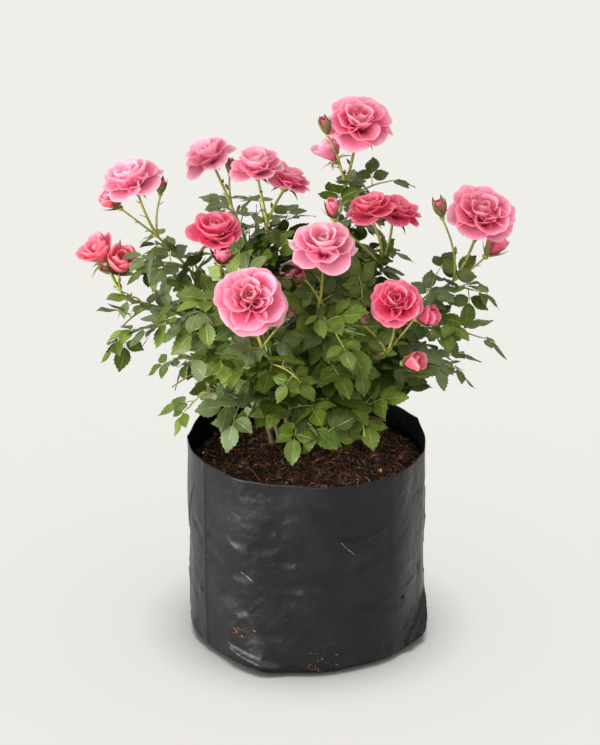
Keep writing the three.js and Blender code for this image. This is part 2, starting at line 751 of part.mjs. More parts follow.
// A flower on its stalk, which leaves the truss along the stem and bends to the flower's foot.
function addFlower(mass, line, spec) {
  const { solid, foot, axis } = flower(spec);
  const truss = line.getPoint(1);
  const start = truss.clone().addScaledVector(line.getTangent(1), -1.5);
  const sunk = foot.clone().addScaledVector(axis, 2);
  const reach = truss.distanceTo(foot);
  const bend = truss
    .clone()
    .addScaledVector(line.getTangent(1), reach * 0.3)
    .lerp(foot.clone().addScaledVector(axis, -reach * 0.3), 0.5);
  const curve = new THREE.QuadraticBezierCurve3(start, bend, sunk);
  mass.solids.push(limb(curve.getPoints(2), [STALK, STALK, STALK], 3), solid);
}

function stemSolid({ line, bare }) {
  const gap = bare ? CLEAR / line.getLength() : 0;
  const low = bare + gap;
  const shares = Array.from({ length: STEM_STEPS + 1 }, (_, i) => low + ((1 - low) * i) / STEM_STEPS);
  const radii = shares.map((t) => STEM * (1.1 - 0.35 * t));
  return limb(shares.map((t) => line.getPoint(t)), radii, 3);
}

function massOf(index) {
  const mass = { index, solids: [], middles: [], blades: [], limbs: [] };
  stems[index].forEach((stem, i) => {
    mass.solids.push(stemSolid(stem));
    mass.limbs.push(...piecesAlong(stem.line.getPoints(LINE_PIECES)));
    stem.flowers.forEach((spec) => addFlower(mass, stem.line, spec));
    stem.sprays.forEach((spray, j) => addSpray(mass, stem.line, spray, 5000 * i + 2000 + 100 * j));
  });
  stems[index].forEach((stem, i) => addTwigs(mass, stem, 5000 * i));
  stems[index].forEach(({ line, bare }, i) => addLeaves(mass, line, bare, STEM_NODE, 5000 * i + 3000));
  return fuse(mass.solids);
}

const rose = new THREE.Group();
rose.add(node("grow_bag", bag(), finishes.film));
rose.add(node("compost", compost(), finishes.compost));
SHOOTS.forEach((shoot, index) => {
  rose.add(node(`cane_${shoot.name}`, geometryOf(cane(index)), finishes.cane));
  rose.add(node(`foliage_${shoot.name}`, geometryFrom(massOf(index)), finishes.foliage));
});

export default rose;
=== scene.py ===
# A pink patio rose in a black polythene grow bag, on a pale studio floor.
# The frame is in metres, +Z up, with the front of the plant towards -Y. Shapes are worked out in millimetres,
# from the same named values and by the same rule of growth as the part's source, and each mesh is turned to
# metres when it is made.
import math
from functools import partial

import bpy
import numpy as np
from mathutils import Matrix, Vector, noise


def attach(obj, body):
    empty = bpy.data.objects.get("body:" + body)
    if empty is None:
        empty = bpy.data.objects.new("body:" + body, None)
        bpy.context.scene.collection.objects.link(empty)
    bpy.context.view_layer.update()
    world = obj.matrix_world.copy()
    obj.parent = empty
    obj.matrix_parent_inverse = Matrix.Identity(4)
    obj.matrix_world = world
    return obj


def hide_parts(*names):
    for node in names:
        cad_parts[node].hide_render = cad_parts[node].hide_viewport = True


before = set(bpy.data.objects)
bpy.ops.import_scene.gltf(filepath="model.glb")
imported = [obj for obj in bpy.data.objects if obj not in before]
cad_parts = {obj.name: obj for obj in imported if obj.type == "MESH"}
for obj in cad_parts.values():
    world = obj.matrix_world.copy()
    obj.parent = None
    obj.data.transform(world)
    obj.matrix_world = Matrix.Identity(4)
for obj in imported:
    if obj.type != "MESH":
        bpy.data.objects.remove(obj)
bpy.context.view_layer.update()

MM = 0.001
RNG = np.random.default_rng(29)
ANY_TURN = 6.28  # random bearings are drawn from 0 to this

# The bag, as in the source
BAG_RADIUS = 98.5
BAG_HEIGHT = 165
BASE_ROUND = 12  # how far the lower edge curves in
FACETS = 9  # soft flats that the film falls into
FACET_DEPTH = 1.1
TUCKS = 4  # folded corners of the base
TUCK_BEARING = -0.35
TUCK_OUT = 7
TUCK_HEIGHT = 36
TUCK_WIDTH = 0.17
DRAIN_HEIGHT = 54
DRAIN_RADIUS = 1.8
DRAIN_BEARINGS = (8, 39, 100, 151)  # degrees

# The compost, as in the source
COMPOST_EDGE = 153  # its level at the film
GROUND = 157  # the flat middle, where the canes stand
GROUND_RADIUS = 48
LUMP = 3
CLEAR = 0.3  # the gap between solids that meet

# The canes, as in the source
CROWN = (-5, 10)  # the middle of the clump
CANE_FOOT = 2.3  # radius above the flare
CANE_TIP = 1.5
FLARE = 1.45
RISE = 0.66  # how far up a cane has climbed when it starts to lean
LEAN = 0.3
ENTER = 0.24  # the share of a shoot that is bare cane

# The foliage, as in the source
SEED = 5.3
STEM = 1.4  # radius of a shoot's stem where its leaves begin
STEM_NODE = 9  # from one leaf to the next along a stem
TWIG_STEP = 26  # from one side twig to the next
TWIG_NODE = 12  # from one leaf to the next along a side twig
TWIG_LENGTH = 46
TWIG = 1.2
TRIES = 9  # how many directions a leaf or a twig is tried in
TURN = 2.39996  # the golden angle, from one leaf to the next
LEAF_LENGTH = 38
LEAF_BELLY = 0.55  # where a leaf is widest
LEAF_WIDTH = 0.3  # half of its width there, as a share of its length
LEAF_THICK = 0.9
FOLD = 0.08  # how far its sides stand above its rib
NECK = 0.12  # the share of a leaf that may run into its twig
SUNK = 0.4  # how far its root is set beyond the middle of its twig
SPACING = 17.5  # from the middle of a leaf to the middle of any other
MARGIN = 0.8  # how far a leaf stays from the edge of its mass's space
LIMB_CLEAR = 3.6
PETAL_CLEAR = 1.5
COMPOST_CLEAR = 5
RIM_CLEAR = 4
RIM_BAND = 8  # how far inside the film foliage already stays above the rim
DROOP = (0.2, 0.3)  # how far a leaf hangs: the least, and the most beyond that
TURN_ON = 1.7  # how much further round the next direction is tried
LINE_PIECES = 8  # straight pieces that stand for a line

# The finer growth that only this script makes
FINE_SPACING = 12
FINE_NODE = 7
FINE_TWIG = 26
FINE_LEAF = 0.8  # of LEAF_LENGTH
FINE_REACH = 92  # how far from the crown's middle the bush is dense
FINE_OUTSIDE = 0.05  # how many of the fine leaves grow beyond that
SKIRT = 190  # no leaf hangs lower than this
SKIRT_FRONT = 0.6  # how much higher the fine leaves end, for each millimetre to the front
SKIRT_SIDE = 0.95  # the same for each millimetre to a side, from SKIRT_MIDDLE on
SKIRT_MIDDLE = 28
SKIRT_DROP = 36  # the source's own leaves that start further below it aren't grown
SKIRT_EASE = 2  # how much lower a leaf may hang than it may start
SKIRT_NAMED = 0.3  # how much higher the leaves that the photo shows hang, for each millimetre to the right
OPEN_TOP = 325  # above this the bush is open
TOP_SHARE = 0.1  # how many of the fine leaves grow there

FRONT = np.array([0.0, -1.0, 0.0])
UP = np.array([0.0, 0.0, 1.0])


def blossom(at, face, width, opened, tone):
    """A flower or bud: its middle, the way it looks, its width, how far it is open and its tone."""
    return {"at": at, "face": face, "across": width, "open": opened, "tone": tone}


def branch(begin, truss, flowers=(), sprays=()):
    """A branch: the share of its shoot's line where it leaves, its truss, and what it carries. A spray is
    the share of the line where it leaves, and its tip."""
    return {"from": begin, "truss": truss, "flowers": flowers, "sprays": sprays}


def shoot(name, foot, truss, flowers, sprays, branches):
    """A shoot: how far from the crown's middle it rises, where its truss is, and what it carries."""
    own = {"name": name, "foot": foot, "truss": truss, "flowers": flowers, "sprays": sprays}
    return {**own, "branches": branches}


# The shoots as in the source, with a few sprays more that the photo shows
SHOOTS = [
    shoot("left", 23, (-120, 12, 338), [
        blossom((-140, 0, 393), (-0.35, -0.15, 0.92), 52, 0.85, "pale"),
        blossom((-153, 5, 368), (-0.5, -0.2, 0.55), 17, 0.15, "coral"),
        blossom((-116, 10, 378), (0.05, -0.1, 1), 12, 0, "shut"),
    ], sprays=[(0.8, (-150, -10, 318))], branches=[
        branch(0.36, (-145, -12, 293), [
            blossom((-164, -12, 331), (-0.5, -0.2, 0.8), 31, 0.45, "coral"),
            blossom((-147, -22, 326), (0.15, -0.5, 0.85), 24, 0.25, "coral"),
            blossom((-158, -8, 316), (-0.5, -0.2, 0.6), 11, 0, "shut"),
        ], sprays=[(0.55, (-176, -18, 248)), (0.25, (-117, -44, 187)), (0.9, (-168, 4, 288))]),
    ]),
    shoot("upper_left", 12, (-61, 50, 350), [
        blossom((-82, 50, 397), (-0.45, -0.1, 0.88), 45, 0.85, "pale"),
        blossom((-62, 56, 380), (0.1, 0.1, 1), 11, 0, "shut"),
    ], sprays=[(0.86, (-104, 40, 352))], branches=[
        branch(0.45, (-32, 22, 347), [
            blossom((-40, 20, 398), (-0.05, -0.12, 0.98), 45, 0.8, "pale"),
            blossom((-14, 38, 381), (0.35, 0.05, 0.93), 40, 0.85, "rose"),
        ], sprays=[]),
    ]),
    shoot("upper_right", 10, (31, 35, 372), [
        blossom((42, 30, 431), (0.1, -0.45, 0.88), 54, 0.9, "rose"),
        blossom((15, 25, 423), (-0.25, -0.1, 1), 13, 0.05, "shut"),
        blossom((19, 37, 399), (-0.5, 0.1, 0.8), 26, 0.4, "pale"),
    ], sprays=[(0.95, (91, 28, 377)), (0.93, (-8, 44, 372)), (0.9, (92, 52, 380))], branches=[
        branch(0.4, (60, 0, 318), [
            blossom((49, -10, 372), (-0.15, -0.15, 0.97), 41, 0.8, "deep"),
            blossom((73, 10, 363), (0.35, 0, 0.93), 41, 0.85, "deep"),
            blossom((20, -20, 369), (-0.05, -0.1, 1), 15, 0.08, "coral"),
        ], sprays=[(0.92, (106, -12, 322))]),
    ]),
    shoot("right", 23, (118, 2, 304), [
        blossom((139, -5, 366), (0.15, -0.5, 0.85), 57, 0.9, "rose"),
        blossom((105, -10, 366), (-0.2, -0.1, 1), 14, 0.06, "shut"),
        blossom((147, 2, 331), (0.5, 0.1, 0.65), 19, 0.2, "coral"),
    ], sprays=[
        (0.9, (163, 2, 291)),
        (0.62, (170, 0, 249)),
        (0.78, (112, -24, 312)),
        (0.84, (116, 22, 330)),
    ], branches=[
        branch(0.3, (92, -30, 250), [
            blossom((80, -72, 263), (0.75, -0.5, 0.35), 17, 0.2, "coral"),
        ], sprays=[(0.9, (143, -18, 225)), (0.6, (106, -62, 196))]),
    ]),
    shoot("front", 18, (10, -68, 312), [
        blossom((12, -82, 366), (0, -0.38, 0.92), 54, 0.85, "pale"),
        blossom((-4, -80, 336), (-0.35, -0.6, 0.6), 12, 0, "shut"),
    ], sprays=[(0.86, (40, -84, 316))], branches=[
        branch(0.28, (63, -75, 272), [
            blossom((68, -92, 322), (0.05, -0.62, 0.78), 43, 0.85, "deep"),
            blossom((90, -80, 303), (0.7, -0.4, 0.3), 17, 0.2, "deep"),
            blossom((44, -84, 301), (-0.2, -0.4, 0.9), 11, 0, "shut"),
        ], sprays=[(0.7, (101, -62, 221))]),
        branch(0.26, (62, -54, 206), sprays=[(0.7, (54, -82, 200))]),
        branch(0.26, (-6, -66, 214), sprays=[(0.7, (-14, -88, 190)), (0.8, (28, -84, 204))]),
    ]),
    shoot("front_left", 24, (-35, -98, 285), [
        blossom((-43, -112, 333), (-0.02, -0.68, 0.73), 56, 1, "rose"),
        blossom((-14, -92, 309), (0.4, -0.4, 0.7), 9, 0, "shut"),
    ], sprays=[], branches=[
        branch(0.3, (-65, -38, 314), [
            blossom((-71, -45, 363), (0, -0.3, 0.95), 45, 0.6, "deep"),
            blossom((-66, -54, 343), (0.15, -0.5, 0.8), 17, 0.12, "coral"),
        ], sprays=[(0.85, (-110, -30, 268))]),
        branch(0.26, (-82, -36, 224), sprays=[(0.6, (-66, -76, 198)), (0.95, (-117, -44, 187))]),
    ]),
    shoot("back_left", 26, (-72, 80, 220), [
        blossom((-84, 98, 250), (-0.4, 0.65, 0.65), 48, 0.9, "rose"),
        blossom((-56, 104, 244), (0.2, 0.6, 0.75), 14, 0.1, "coral"),
    ], sprays=[(0.7, (-140, 84, 252))], branches=[
        branch(0.28, (-92, 50, 222), sprays=[(0.8, (-142, 48, 212)), (0.5, (-72, 98, 200))]),
    ]),
    shoot("back", 21, (-6, 98, 238), [
        blossom((-12, 122, 270), (-0.1, 0.75, 0.65), 52, 1, "pale"),
        blossom((22, 112, 268), (0.4, 0.5, 0.8), 24, 0.4, "rose"),
    ], sprays=[(0.6, (-24, 142, 228))], branches=[
        branch(0.32, (30, 96, 204), [
            blossom((44, 120, 232), (0.3, 0.8, 0.5), 44, 0.8, "rose"),
        ], sprays=[(0.8, (36, 142, 204))]),
    ]),
    shoot("back_right", 25, (70, 80, 220), [
        blossom((78, 98, 250), (0.35, 0.7, 0.65), 46, 0.85, "deep"),
        blossom((104, 92, 242), (0.5, 0.4, 0.75), 13, 0.05, "shut"),
    ], sprays=[(0.75, (138, 78, 252))], branches=[
        branch(0.28, (96, 46, 230), sprays=[(0.8, (148, 46, 216)), (0.5, (82, 98, 204))]),
    ]),
]


# Small vectors

def vec(xyz):
    return np.array(xyz, float)


def unit(v):
    return v / math.sqrt(v @ v)


def cross(a, b):
    return np.array([a[1] * b[2] - a[2] * b[1], a[2] * b[0] - a[0] * b[2], a[0] * b[1] - a[1] * b[0]])


def lerp(a, b, share):
    return a + (b - a) * share


def across(axis):
    """Two directions square to an axis, the first as level as it can be."""
    level = np.array([1.0, 0.0, 0.0]) if abs(axis[2]) > 0.95 else unit(cross(UP, axis))
    other = unit(cross(axis, level))
    return unit(cross(other, axis)), other


def square_to(facing, way):
    """A direction turned as little as it takes to be square to another."""
    return unit(facing - way * (facing @ way))


def between(a, b, turn):
    """The way that is so far round from the first of two square directions to the second."""
    return a * math.cos(turn) + b * math.sin(turn)


class Bow:
    """A line that bends once: a start, what it leans towards, and an end."""

    def __init__(self, start, bend, end):
        self.start, self.bend, self.end = start, bend, end

    def point(self, t):
        return (1 - t) ** 2 * self.start + 2 * (1 - t) * t * self.bend + t * t * self.end

    def points(self, shares):
        return np.array([self.point(t) for t in shares])

    def tangent(self, t):
        return unit((1 - t) * (self.bend - self.start) + t * (self.end - self.bend))

    def length(self):
        track = self.points(np.linspace(0, 1, 201))
        return float(np.linalg.norm(np.diff(track, axis=0), axis=1).sum())


# Meshes

class Heap:
    """Points and faces of many small things of one kind, which become one mesh."""

    def __init__(self):
        self.points, self.corners, self.sizes, self.slots, self.places = [], [], [], [], []
        self.count = 0

    def add(self, points, faces, slot=0, places=None):
        """Faces is an array with a row for each face. Places are the points' own coordinates for patterns."""
        places = np.zeros((len(points), 2)) if places is None else places
        self.points.append(points)
        self.corners.append((faces + self.count).ravel())
        self.sizes.append(np.full(len(faces), faces.shape[1]))
        self.slots.append(np.full(len(faces), slot) if np.isscalar(slot) else slot)
        self.places.append(places[faces.ravel()])
        self.count += len(points)

    def made(self, name, finishes):
        """The heap as one object with its finishes in their slots."""
        mesh = bpy.data.meshes.new(name)
        points = np.concatenate(self.points) * MM
        corners = np.concatenate(self.corners)
        sizes = np.concatenate(self.sizes)
        starts = np.concatenate([[0], np.cumsum(sizes)[:-1]])
        mesh.vertices.add(len(points))
        mesh.vertices.foreach_set("co", points.ravel())
        mesh.loops.add(len(corners))
        mesh.loops.foreach_set("vertex_index", corners.astype(np.int32))
        mesh.polygons.add(len(sizes))
        mesh.polygons.foreach_set("loop_start", starts.astype(np.int32))
        mesh.polygons.foreach_set("material_index", np.concatenate(self.slots).astype(np.int32))
        layer = mesh.uv_layers.new(name="place")
        layer.data.foreach_set("uv", np.concatenate(self.places).ravel())
        for finish in finishes:
            mesh.materials.append(finish)
        mesh.update(calc_edges=True)
        mesh.shade_smooth()
        piece = bpy.data.objects.new(name, mesh)
        bpy.context.scene.collection.objects.link(piece)
        return piece


def grid(rows, columns):
    """Both coordinates of each point of a grid, row by row."""
    return [both.ravel() for both in np.meshgrid(rows, columns, indexing="ij")]


def grid_faces(rows, columns, closed=False):
    """The quads of a grid of points, row by row. A closed grid's last column meets its first."""
    first = np.arange(columns if closed else columns - 1)
    after = (first + 1) % columns
    row = np.arange(rows - 1)[:, None] * columns
    quads = np.stack([row + first, row + after, row + columns + after, row + columns + first], -1)
    return quads.reshape(-1, 4)


def tube(points, radii, sides):
    """A round limb along points. Returns its points and quads; its rings don't twist."""
    ways = np.gradient(points, axis=0)
    side = across(unit(ways[0]))[0]
    turns = np.arange(sides) * math.tau / sides
    rings = []
    for centre, way, radius in zip(points, ways, radii):
        way = unit(way)
        up = unit(cross(way, side))
        side = cross(up, way)
        rings.append(centre + radius * (np.outer(np.cos(turns), side) + np.outer(np.sin(turns), up)))
    return np.concatenate(rings), grid_faces(len(points), sides, closed=True)


def add_tube(heap, points, radii, sides, slot=0):
    """A tube with closed ends."""
    rings, quads = tube(points, radii, sides)
    along = np.repeat(np.linspace(0, 1, len(points)), sides)
    places = np.stack([np.tile(np.arange(sides) / sides, len(points)), along], -1)
    heap.add(rings, quads, slot, places)
    ends = np.array([np.arange(sides)[::-1], np.arange(sides) + (len(points) - 1) * sides])
    heap.add(rings, ends, slot, places)


def dress(piece, slot, *nodes):
    """The piece rides with the plant and stands for the nodes. The slot is not used."""
    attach(piece, "root")
    if nodes:
        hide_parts(*nodes)
    return piece


# Materials

def colour(hexes):
    """An sRGB hex colour as linear values."""
    parts = [int(hexes[i:i + 2], 16) / 255 for i in (1, 3, 5)]
    return (*(c / 12.92 if c <= 0.04045 else ((c + 0.055) / 1.055) ** 2.4 for c in parts), 1.0)


def add(tree, kind, inputs=None, stops=(), **settings):
    """Adds a shader node. Inputs are, by socket, values to set or nodes and outputs to link. Stops are the
    places and colours of a ramp."""
    made = tree.nodes.new("ShaderNode" + kind)
    for name, value in settings.items():
        setattr(made, name, value)
    for socket, value in (inputs or {}).items():
        if isinstance(value, bpy.types.Node):
            value = value.outputs[0]
        if isinstance(value, bpy.types.NodeSocket):
            tree.links.new(value, made.inputs[socket])
        else:
            made.inputs[socket].default_value = value
    for number, (where, tint) in enumerate(stops):
        band = made.color_ramp.elements
        element = band[number] if number < len(band) else band.new(where)
        element.position = where
        element.color = tint
    return made


def per_metre(size):
    """The scale of a pattern whose lumps are about so many millimetres across."""
    return 1 / (size * MM)


def new_material(name):
    """A material with no nodes yet. Its last one is added as the output."""
    material = bpy.data.materials.new(name)
    material.use_nodes = True
    material.node_tree.nodes.clear()
    return material, material.node_tree


BLACK = (0, 0, 0, 1)
WHITE = (1, 1, 1, 1)
LEAF_BLOTCH = 9  # mm, how wide the lighter and darker parts of a leaf are
RIB_FADE = 18.0  # how sharply the pale midrib fades to its sides
VEINS = 8  # side veins to each half of a leaflet
VEIN_SLANT = 0.55  # how steeply the side veins climb towards the tip
VEIN_SHARP = 4.0  # how narrow they are
VEIN_SHARE = 0.35  # how much of the midrib's paleness a side vein has
LINE_TONE = 0.42  # how much paler the midrib is


def leaf_finish(name, shade, body, light):
    """A rose leaf is waxy above, so it has a satin sheen. Its midrib is paler, and its veins are sunken."""
    material, tree = new_material(name)
    where = add(tree, "TexCoord").outputs["Object"]
    blotch = add(tree, "TexNoise", {"Vector": where, "Scale": per_metre(LEAF_BLOTCH), "Detail": 4.0})
    place = add(tree, "SeparateXYZ", {0: add(tree, "UVMap", uv_map="place")})
    shift = add(tree, "Math", {0: place, 1: 0.5}, operation="SUBTRACT")
    off = add(tree, "Math", {0: shift}, operation="ABSOLUTE")
    rib = add(tree, "Math", {0: off, 1: -RIB_FADE, 2: 1.0}, operation="MULTIPLY_ADD", use_clamp=True)
    slant = add(tree, "Math", {0: off, 1: -VEIN_SLANT, 2: place.outputs[1]}, operation="MULTIPLY_ADD")
    turns = add(tree, "Math", {0: slant, 1: math.tau * VEINS}, operation="MULTIPLY")
    wave = add(tree, "Math", {0: turns}, operation="SINE")
    crest = add(tree, "Math", {0: wave, 1: 0.0}, operation="MAXIMUM")
    vein = add(tree, "Math", {0: crest, 1: VEIN_SHARP}, operation="POWER")
    faint = add(tree, "Math", {0: vein, 1: VEIN_SHARE}, operation="MULTIPLY")
    lines = add(tree, "Math", {0: rib, 1: faint}, operation="MAXIMUM")
    tone = add(tree, "Math", {0: lines, 1: LINE_TONE, 2: blotch}, operation="MULTIPLY_ADD")
    tint = add(tree, "ValToRGB", {0: tone}, [
        (0.3, colour(shade)), (0.5, colour(body)), (0.68, colour(body)), (1.0, colour(light)),
    ])
    height = add(tree, "Math", {0: lines, 1: -1.0, 2: blotch}, operation="MULTIPLY_ADD")
    relief = add(tree, "Bump", {"Height": height, "Distance": 0.4 * MM, "Strength": 0.7})
    shader = add(tree, "BsdfPrincipled", {
        "Base Color": tint, "Roughness": 0.38, "IOR": 1.45, "Specular IOR Level": 0.33, "Normal": relief,
    })
    add(tree, "OutputMaterial", {"Surface": shader})
    return material


# How many streaks a petal has across and along. Its veins are finer, and wouldn't show.
STREAKS = (24.0, 2.0, 1.0)
THIN = 0.42  # how much of a petal's light comes through it


def petal_finish(name, foot, body, rim):
    """A rose petal is velvety and so thin that light comes through it. It is deepest at its foot, partly
    painted shade, and palest at its rim, partly a painted highlight, with fine streaks along it."""
    material, tree = new_material(name)
    place = add(tree, "UVMap", uv_map="place")
    stretched = add(tree, "Mapping", {0: place, 3: STREAKS})
    streaks = add(tree, "TexNoise", {"Vector": stretched, "Scale": 1.0, "Detail": 3.0})
    climb = add(tree, "SeparateXYZ", {0: place}).outputs[1]
    share = add(tree, "Math", {0: climb, 1: 0.85}, operation="MULTIPLY")
    along = add(tree, "Math", {0: streaks, 1: 0.3, 2: share}, operation="MULTIPLY_ADD")
    # The foot's deep tone is partly painted shade, and the rim's pale tone partly a painted highlight
    tint = add(tree, "ValToRGB", {0: along}, [
        (0.2, colour(foot)), (0.5, colour(body)), (0.84, colour(body)), (0.98, colour(rim)),
    ])
    relief = add(tree, "Bump", {"Height": streaks, "Distance": 0.25 * MM, "Strength": 0.5})
    shader = add(tree, "BsdfPrincipled", {
        "Base Color": tint, "Roughness": 0.6, "IOR": 1.4, "Specular IOR Level": 0.25, "Sheen Weight": 0.15,
        "Sheen Roughness": 0.5, "Normal": relief,
    })
    glow = add(tree, "BsdfTranslucent", {"Color": tint})
    both = add(tree, "MixShader", {0: THIN, 1: shader, 2: glow})
    add(tree, "OutputMaterial", {"Surface": both})
    return material


PORE = 1.2  # mm, coarser than real pores, so that they show


def stalk_finish(name, low, high, patch=7, roughness=0.48):
    """Young rose bark, stalks and sepals are smooth and green, flushed with red or lime in patches."""
    material, tree = new_material(name)
    where = add(tree, "TexCoord").outputs["Object"]
    patches = add(tree, "TexNoise", {"Vector": where, "Scale": per_metre(patch), "Detail": 4.0})
    tint = add(tree, "ValToRGB", {0: patches}, [(0.4, colour(low)), (0.66, colour(high))])
    pores = add(tree, "TexNoise", {"Vector": where, "Scale": per_metre(PORE)})
    relief = add(tree, "Bump", {"Height": pores, "Distance": 0.15 * MM, "Strength": 0.5})
    shader = add(tree, "BsdfPrincipled", {"Base Color": tint, "Roughness": roughness, "Normal": relief})
    add(tree, "OutputMaterial", {"Surface": shader})
    return material


DRIED = 4  # mm, how wide the dried parts are
GRIT = 1.2  # mm, coarser than the real pith, so that it shows


def coir_finish(name, low, high):
    """Moist coco compost is dull and dark brown, and its pith and husk are paler where they have dried."""
    material, tree = new_material(name)
    where = add(tree, "TexCoord").outputs["Object"]
    dried = add(tree, "TexNoise", {"Vector": where, "Scale": per_metre(DRIED), "Detail": 7.0})
    tint = add(tree, "ValToRGB", {0: dried}, [(0.38, colour(low)), (0.66, colour(high))])
    grit = add(tree, "TexNoise", {"Vector": where, "Scale": per_metre(GRIT), "Detail": 8.0})
    relief = add(tree, "Bump", {"Height": grit, "Distance": 0.6 * MM, "Strength": 0.8})
    shader = add(tree, "BsdfPrincipled", {
        "Base Color": tint, "Roughness": 0.85, "Specular IOR Level": 0.25, "Normal": relief,
    })
    add(tree, "OutputMaterial", {"Surface": shader})
    return material


# Sizes of what shows on the film, in millimetres
DUST = 38
SPECK = 1.7  # coarser than the real ones, so that they show
DIMPLE = 7
SWELL = 19
# The scratches: how they are turned, and how many there are to the metre across and along. They too are drawn
# wider than they are.
SCORE_TURN = (0.2, 0.9, 0.3)
SCORES = (500.0, 500.0, 60.0)


def film_finish():
    """Blown black polythene film is satin and near black. Handling has left it soft dimples, dust that dulls
    it in patches, specks of compost and fine pale scratches."""
    material, tree = new_material("black_polythene_film")
    where = add(tree, "TexCoord").outputs["Object"]
    dust = add(tree, "TexNoise", {
        "Vector": where, "Scale": per_metre(DUST), "Detail": 8.0, "Roughness": 0.62,
    })
    dusty = add(tree, "ValToRGB", {0: dust}, [(0.48, BLACK), (0.78, WHITE)])
    speck = add(tree, "TexNoise", {"Vector": where, "Scale": per_metre(SPECK), "Detail": 2.0})
    specks = add(tree, "ValToRGB", {0: speck}, [(0.7, BLACK), (0.75, WHITE)])
    scored = add(tree, "Mapping", {0: where, 2: SCORE_TURN, 3: SCORES})
    score = add(tree, "TexNoise", {"Vector": scored, "Scale": 1.0, "Detail": 1.0})
    scratches = add(tree, "ValToRGB", {0: score}, [(0.8, BLACK), (0.86, WHITE)])
    crumbs = add(tree, "Math", {0: specks, 1: 0.5}, operation="MULTIPLY")
    marks = add(tree, "Math", {0: crumbs, 1: scratches}, operation="MAXIMUM")
    haze = add(tree, "Math", {0: dusty, 1: 0.35}, operation="MULTIPLY")
    dirt = add(tree, "Math", {0: haze, 1: marks}, operation="MAXIMUM")
    tint = add(tree, "ValToRGB", {0: dirt}, [
        (0.0, colour("#0b0c0f")), (0.35, colour("#1b1a1c")), (1.0, colour("#7a7268")),
    ])
    rough = add(tree, "Math", {0: dusty, 1: 0.1, 2: 0.38}, operation="MULTIPLY_ADD")
    dimples = add(tree, "TexNoise", {"Vector": where, "Scale": per_metre(DIMPLE), "Detail": 2.0})
    swell = add(tree, "TexNoise", {"Vector": where, "Scale": per_metre(SWELL), "Detail": 2.0})
    height = add(tree, "Math", {0: swell, 1: 2.5, 2: dimples}, operation="MULTIPLY_ADD")
    relief = add(tree, "Bump", {"Height": height, "Distance": 1.0 * MM, "Strength": 0.6})
    shader = add(tree, "BsdfPrincipled", {
        "Base Color": tint, "Roughness": rough, "IOR": 1.51, "Specular IOR Level": 0.3, "Normal": relief,
    })
    add(tree, "OutputMaterial", {"Surface": shader})
    return material


# Greens are dealt out by spray and by place. The dark ones are painted shade deep in the bush, and elsewhere
# the tone of older leaves. The pale ones on the lit side are painted light, and the bright one near the
# compost is new growth and partly painted light that comes through the leaves. Each has its darkest tone, its
# body and its lightest part.
LEAF_GREENS = {
    "deep": ("#36430c", "#4a5c16", "#798a48"),
    "dark": ("#263108", "#37460e", "#5f6d34"),
    "mid": ("#465716", "#5f7128", "#8d9c58"),
    "fresh": ("#54661e", "#6f8532", "#9cac62"),
    "young": ("#66761e", "#829230", "#aebb66"),
    "grey": ("#424e28", "#5c6b3f", "#8d996c"),
}
LEAVES = [leaf_finish(f"rose_leaf_{name}", *tones) for name, tones in LEAF_GREENS.items()]

# Foot, body and rim of the outer petals, then of the inner ones
PETAL_TONES = {
    "pale": [("#ee548e", "#f297b4", "#f9c4d4"), ("#f0628f", "#f7a2b8", "#fbcad7")],
    "rose": [("#e63f7a", "#ef81a2", "#f6b2c6"), ("#ec5080", "#f590aa", "#fabccb")],
    "deep": [("#da255e", "#e9557d", "#f291a9"), ("#da2d5f", "#ec5e80", "#f599ac")],
    "coral": [("#da4062", "#ec6f87", "#f5a5b3"), ("#d53757", "#ea617c", "#f398a6")],
    "shut": [("#7a3a35", "#b04c58", "#d87886"), ("#7a3a35", "#b04c58", "#d87886")],
}
PETALS = [
    petal_finish(f"rose_petal_{name}_{where}", *tones)
    for name, pair in PETAL_TONES.items() for where, tones in zip(("outer", "inner"), pair)
]
PETAL_SLOT = {name: 2 * i for i, name in enumerate(PETAL_TONES)}

STALK_LIME, STALK_GREEN, STALK_FLUSHED, SEPAL, STAMEN = range(5)
GREENERY = [
    stalk_finish("young_stalk", "#7f8a38", "#a39a4a"),
    stalk_finish("green_cane", "#66763a", "#7e8044"),
    stalk_finish("flushed_cane", "#75583a", "#70703d"),
    stalk_finish("sepal", "#66713a", "#7d5a3e", 4),
    stalk_finish("stamen", "#d09a44", "#8a4a2c", 1.5, 0.7),
]

COIR = [
    coir_finish("coir_dark", "#120b06", "#312014"),
    coir_finish("coir_brown", "#2a1a11", "#553924"),
    coir_finish("coir_pith", "#583b26", "#886446"),
    coir_finish("husk_fibre", "#94704b", "#c6a57c"),
    coir_finish("red_fibre", "#7a3e2b", "#a8664a"),
    coir_finish("perlite_grain", "#c9c2b6", "#e6e1d8"),
    coir_finish("bleached_straw", "#96918a", "#c4bfb6"),
]
# The film's second finish is painted shade: the near-black disc in each drain hole
FILM = [film_finish(), coir_finish("painted_hole_shade", "#070504", "#100b08")]


# Growth, by the source's rule

def chance(index, node, what):
    """A number from 0 to 1 that depends only on the shoot, the node on it and what is being decided."""
    mixed_up = math.sin(SEED + index * 12.9898 + node * 78.233 + what * 37.719) * 43758.5453
    return mixed_up - math.floor(mixed_up)


def arch(start, truss):
    """A line that climbs steeply from its start and then leans out to its truss."""
    bend = lerp(start, truss, LEAN)
    bend[2] = start[2] + (truss[2] - start[2]) * RISE
    return Bow(start, bend, truss)


def stems_of(plan):
    """The lines of a shoot and its branches, each with the share that is bare cane and what grows on it."""
    crown = vec((*CROWN, GROUND + CLEAR))
    truss = vec(plan["truss"])
    outward = truss - crown
    outward[2] = 0
    line = arch(crown + unit(outward) * plan["foot"], truss)
    stems = [{**plan, "line": line, "bare": ENTER}]
    for row in plan["branches"]:
        stems.append({**row, "line": arch(line.point(row["from"]), vec(row["truss"])), "bare": 0})
    return stems


def pairs_of(points):
    """The straight pieces between points that follow each other."""
    return [(a, b) for a, b in zip(points, points[1:])]


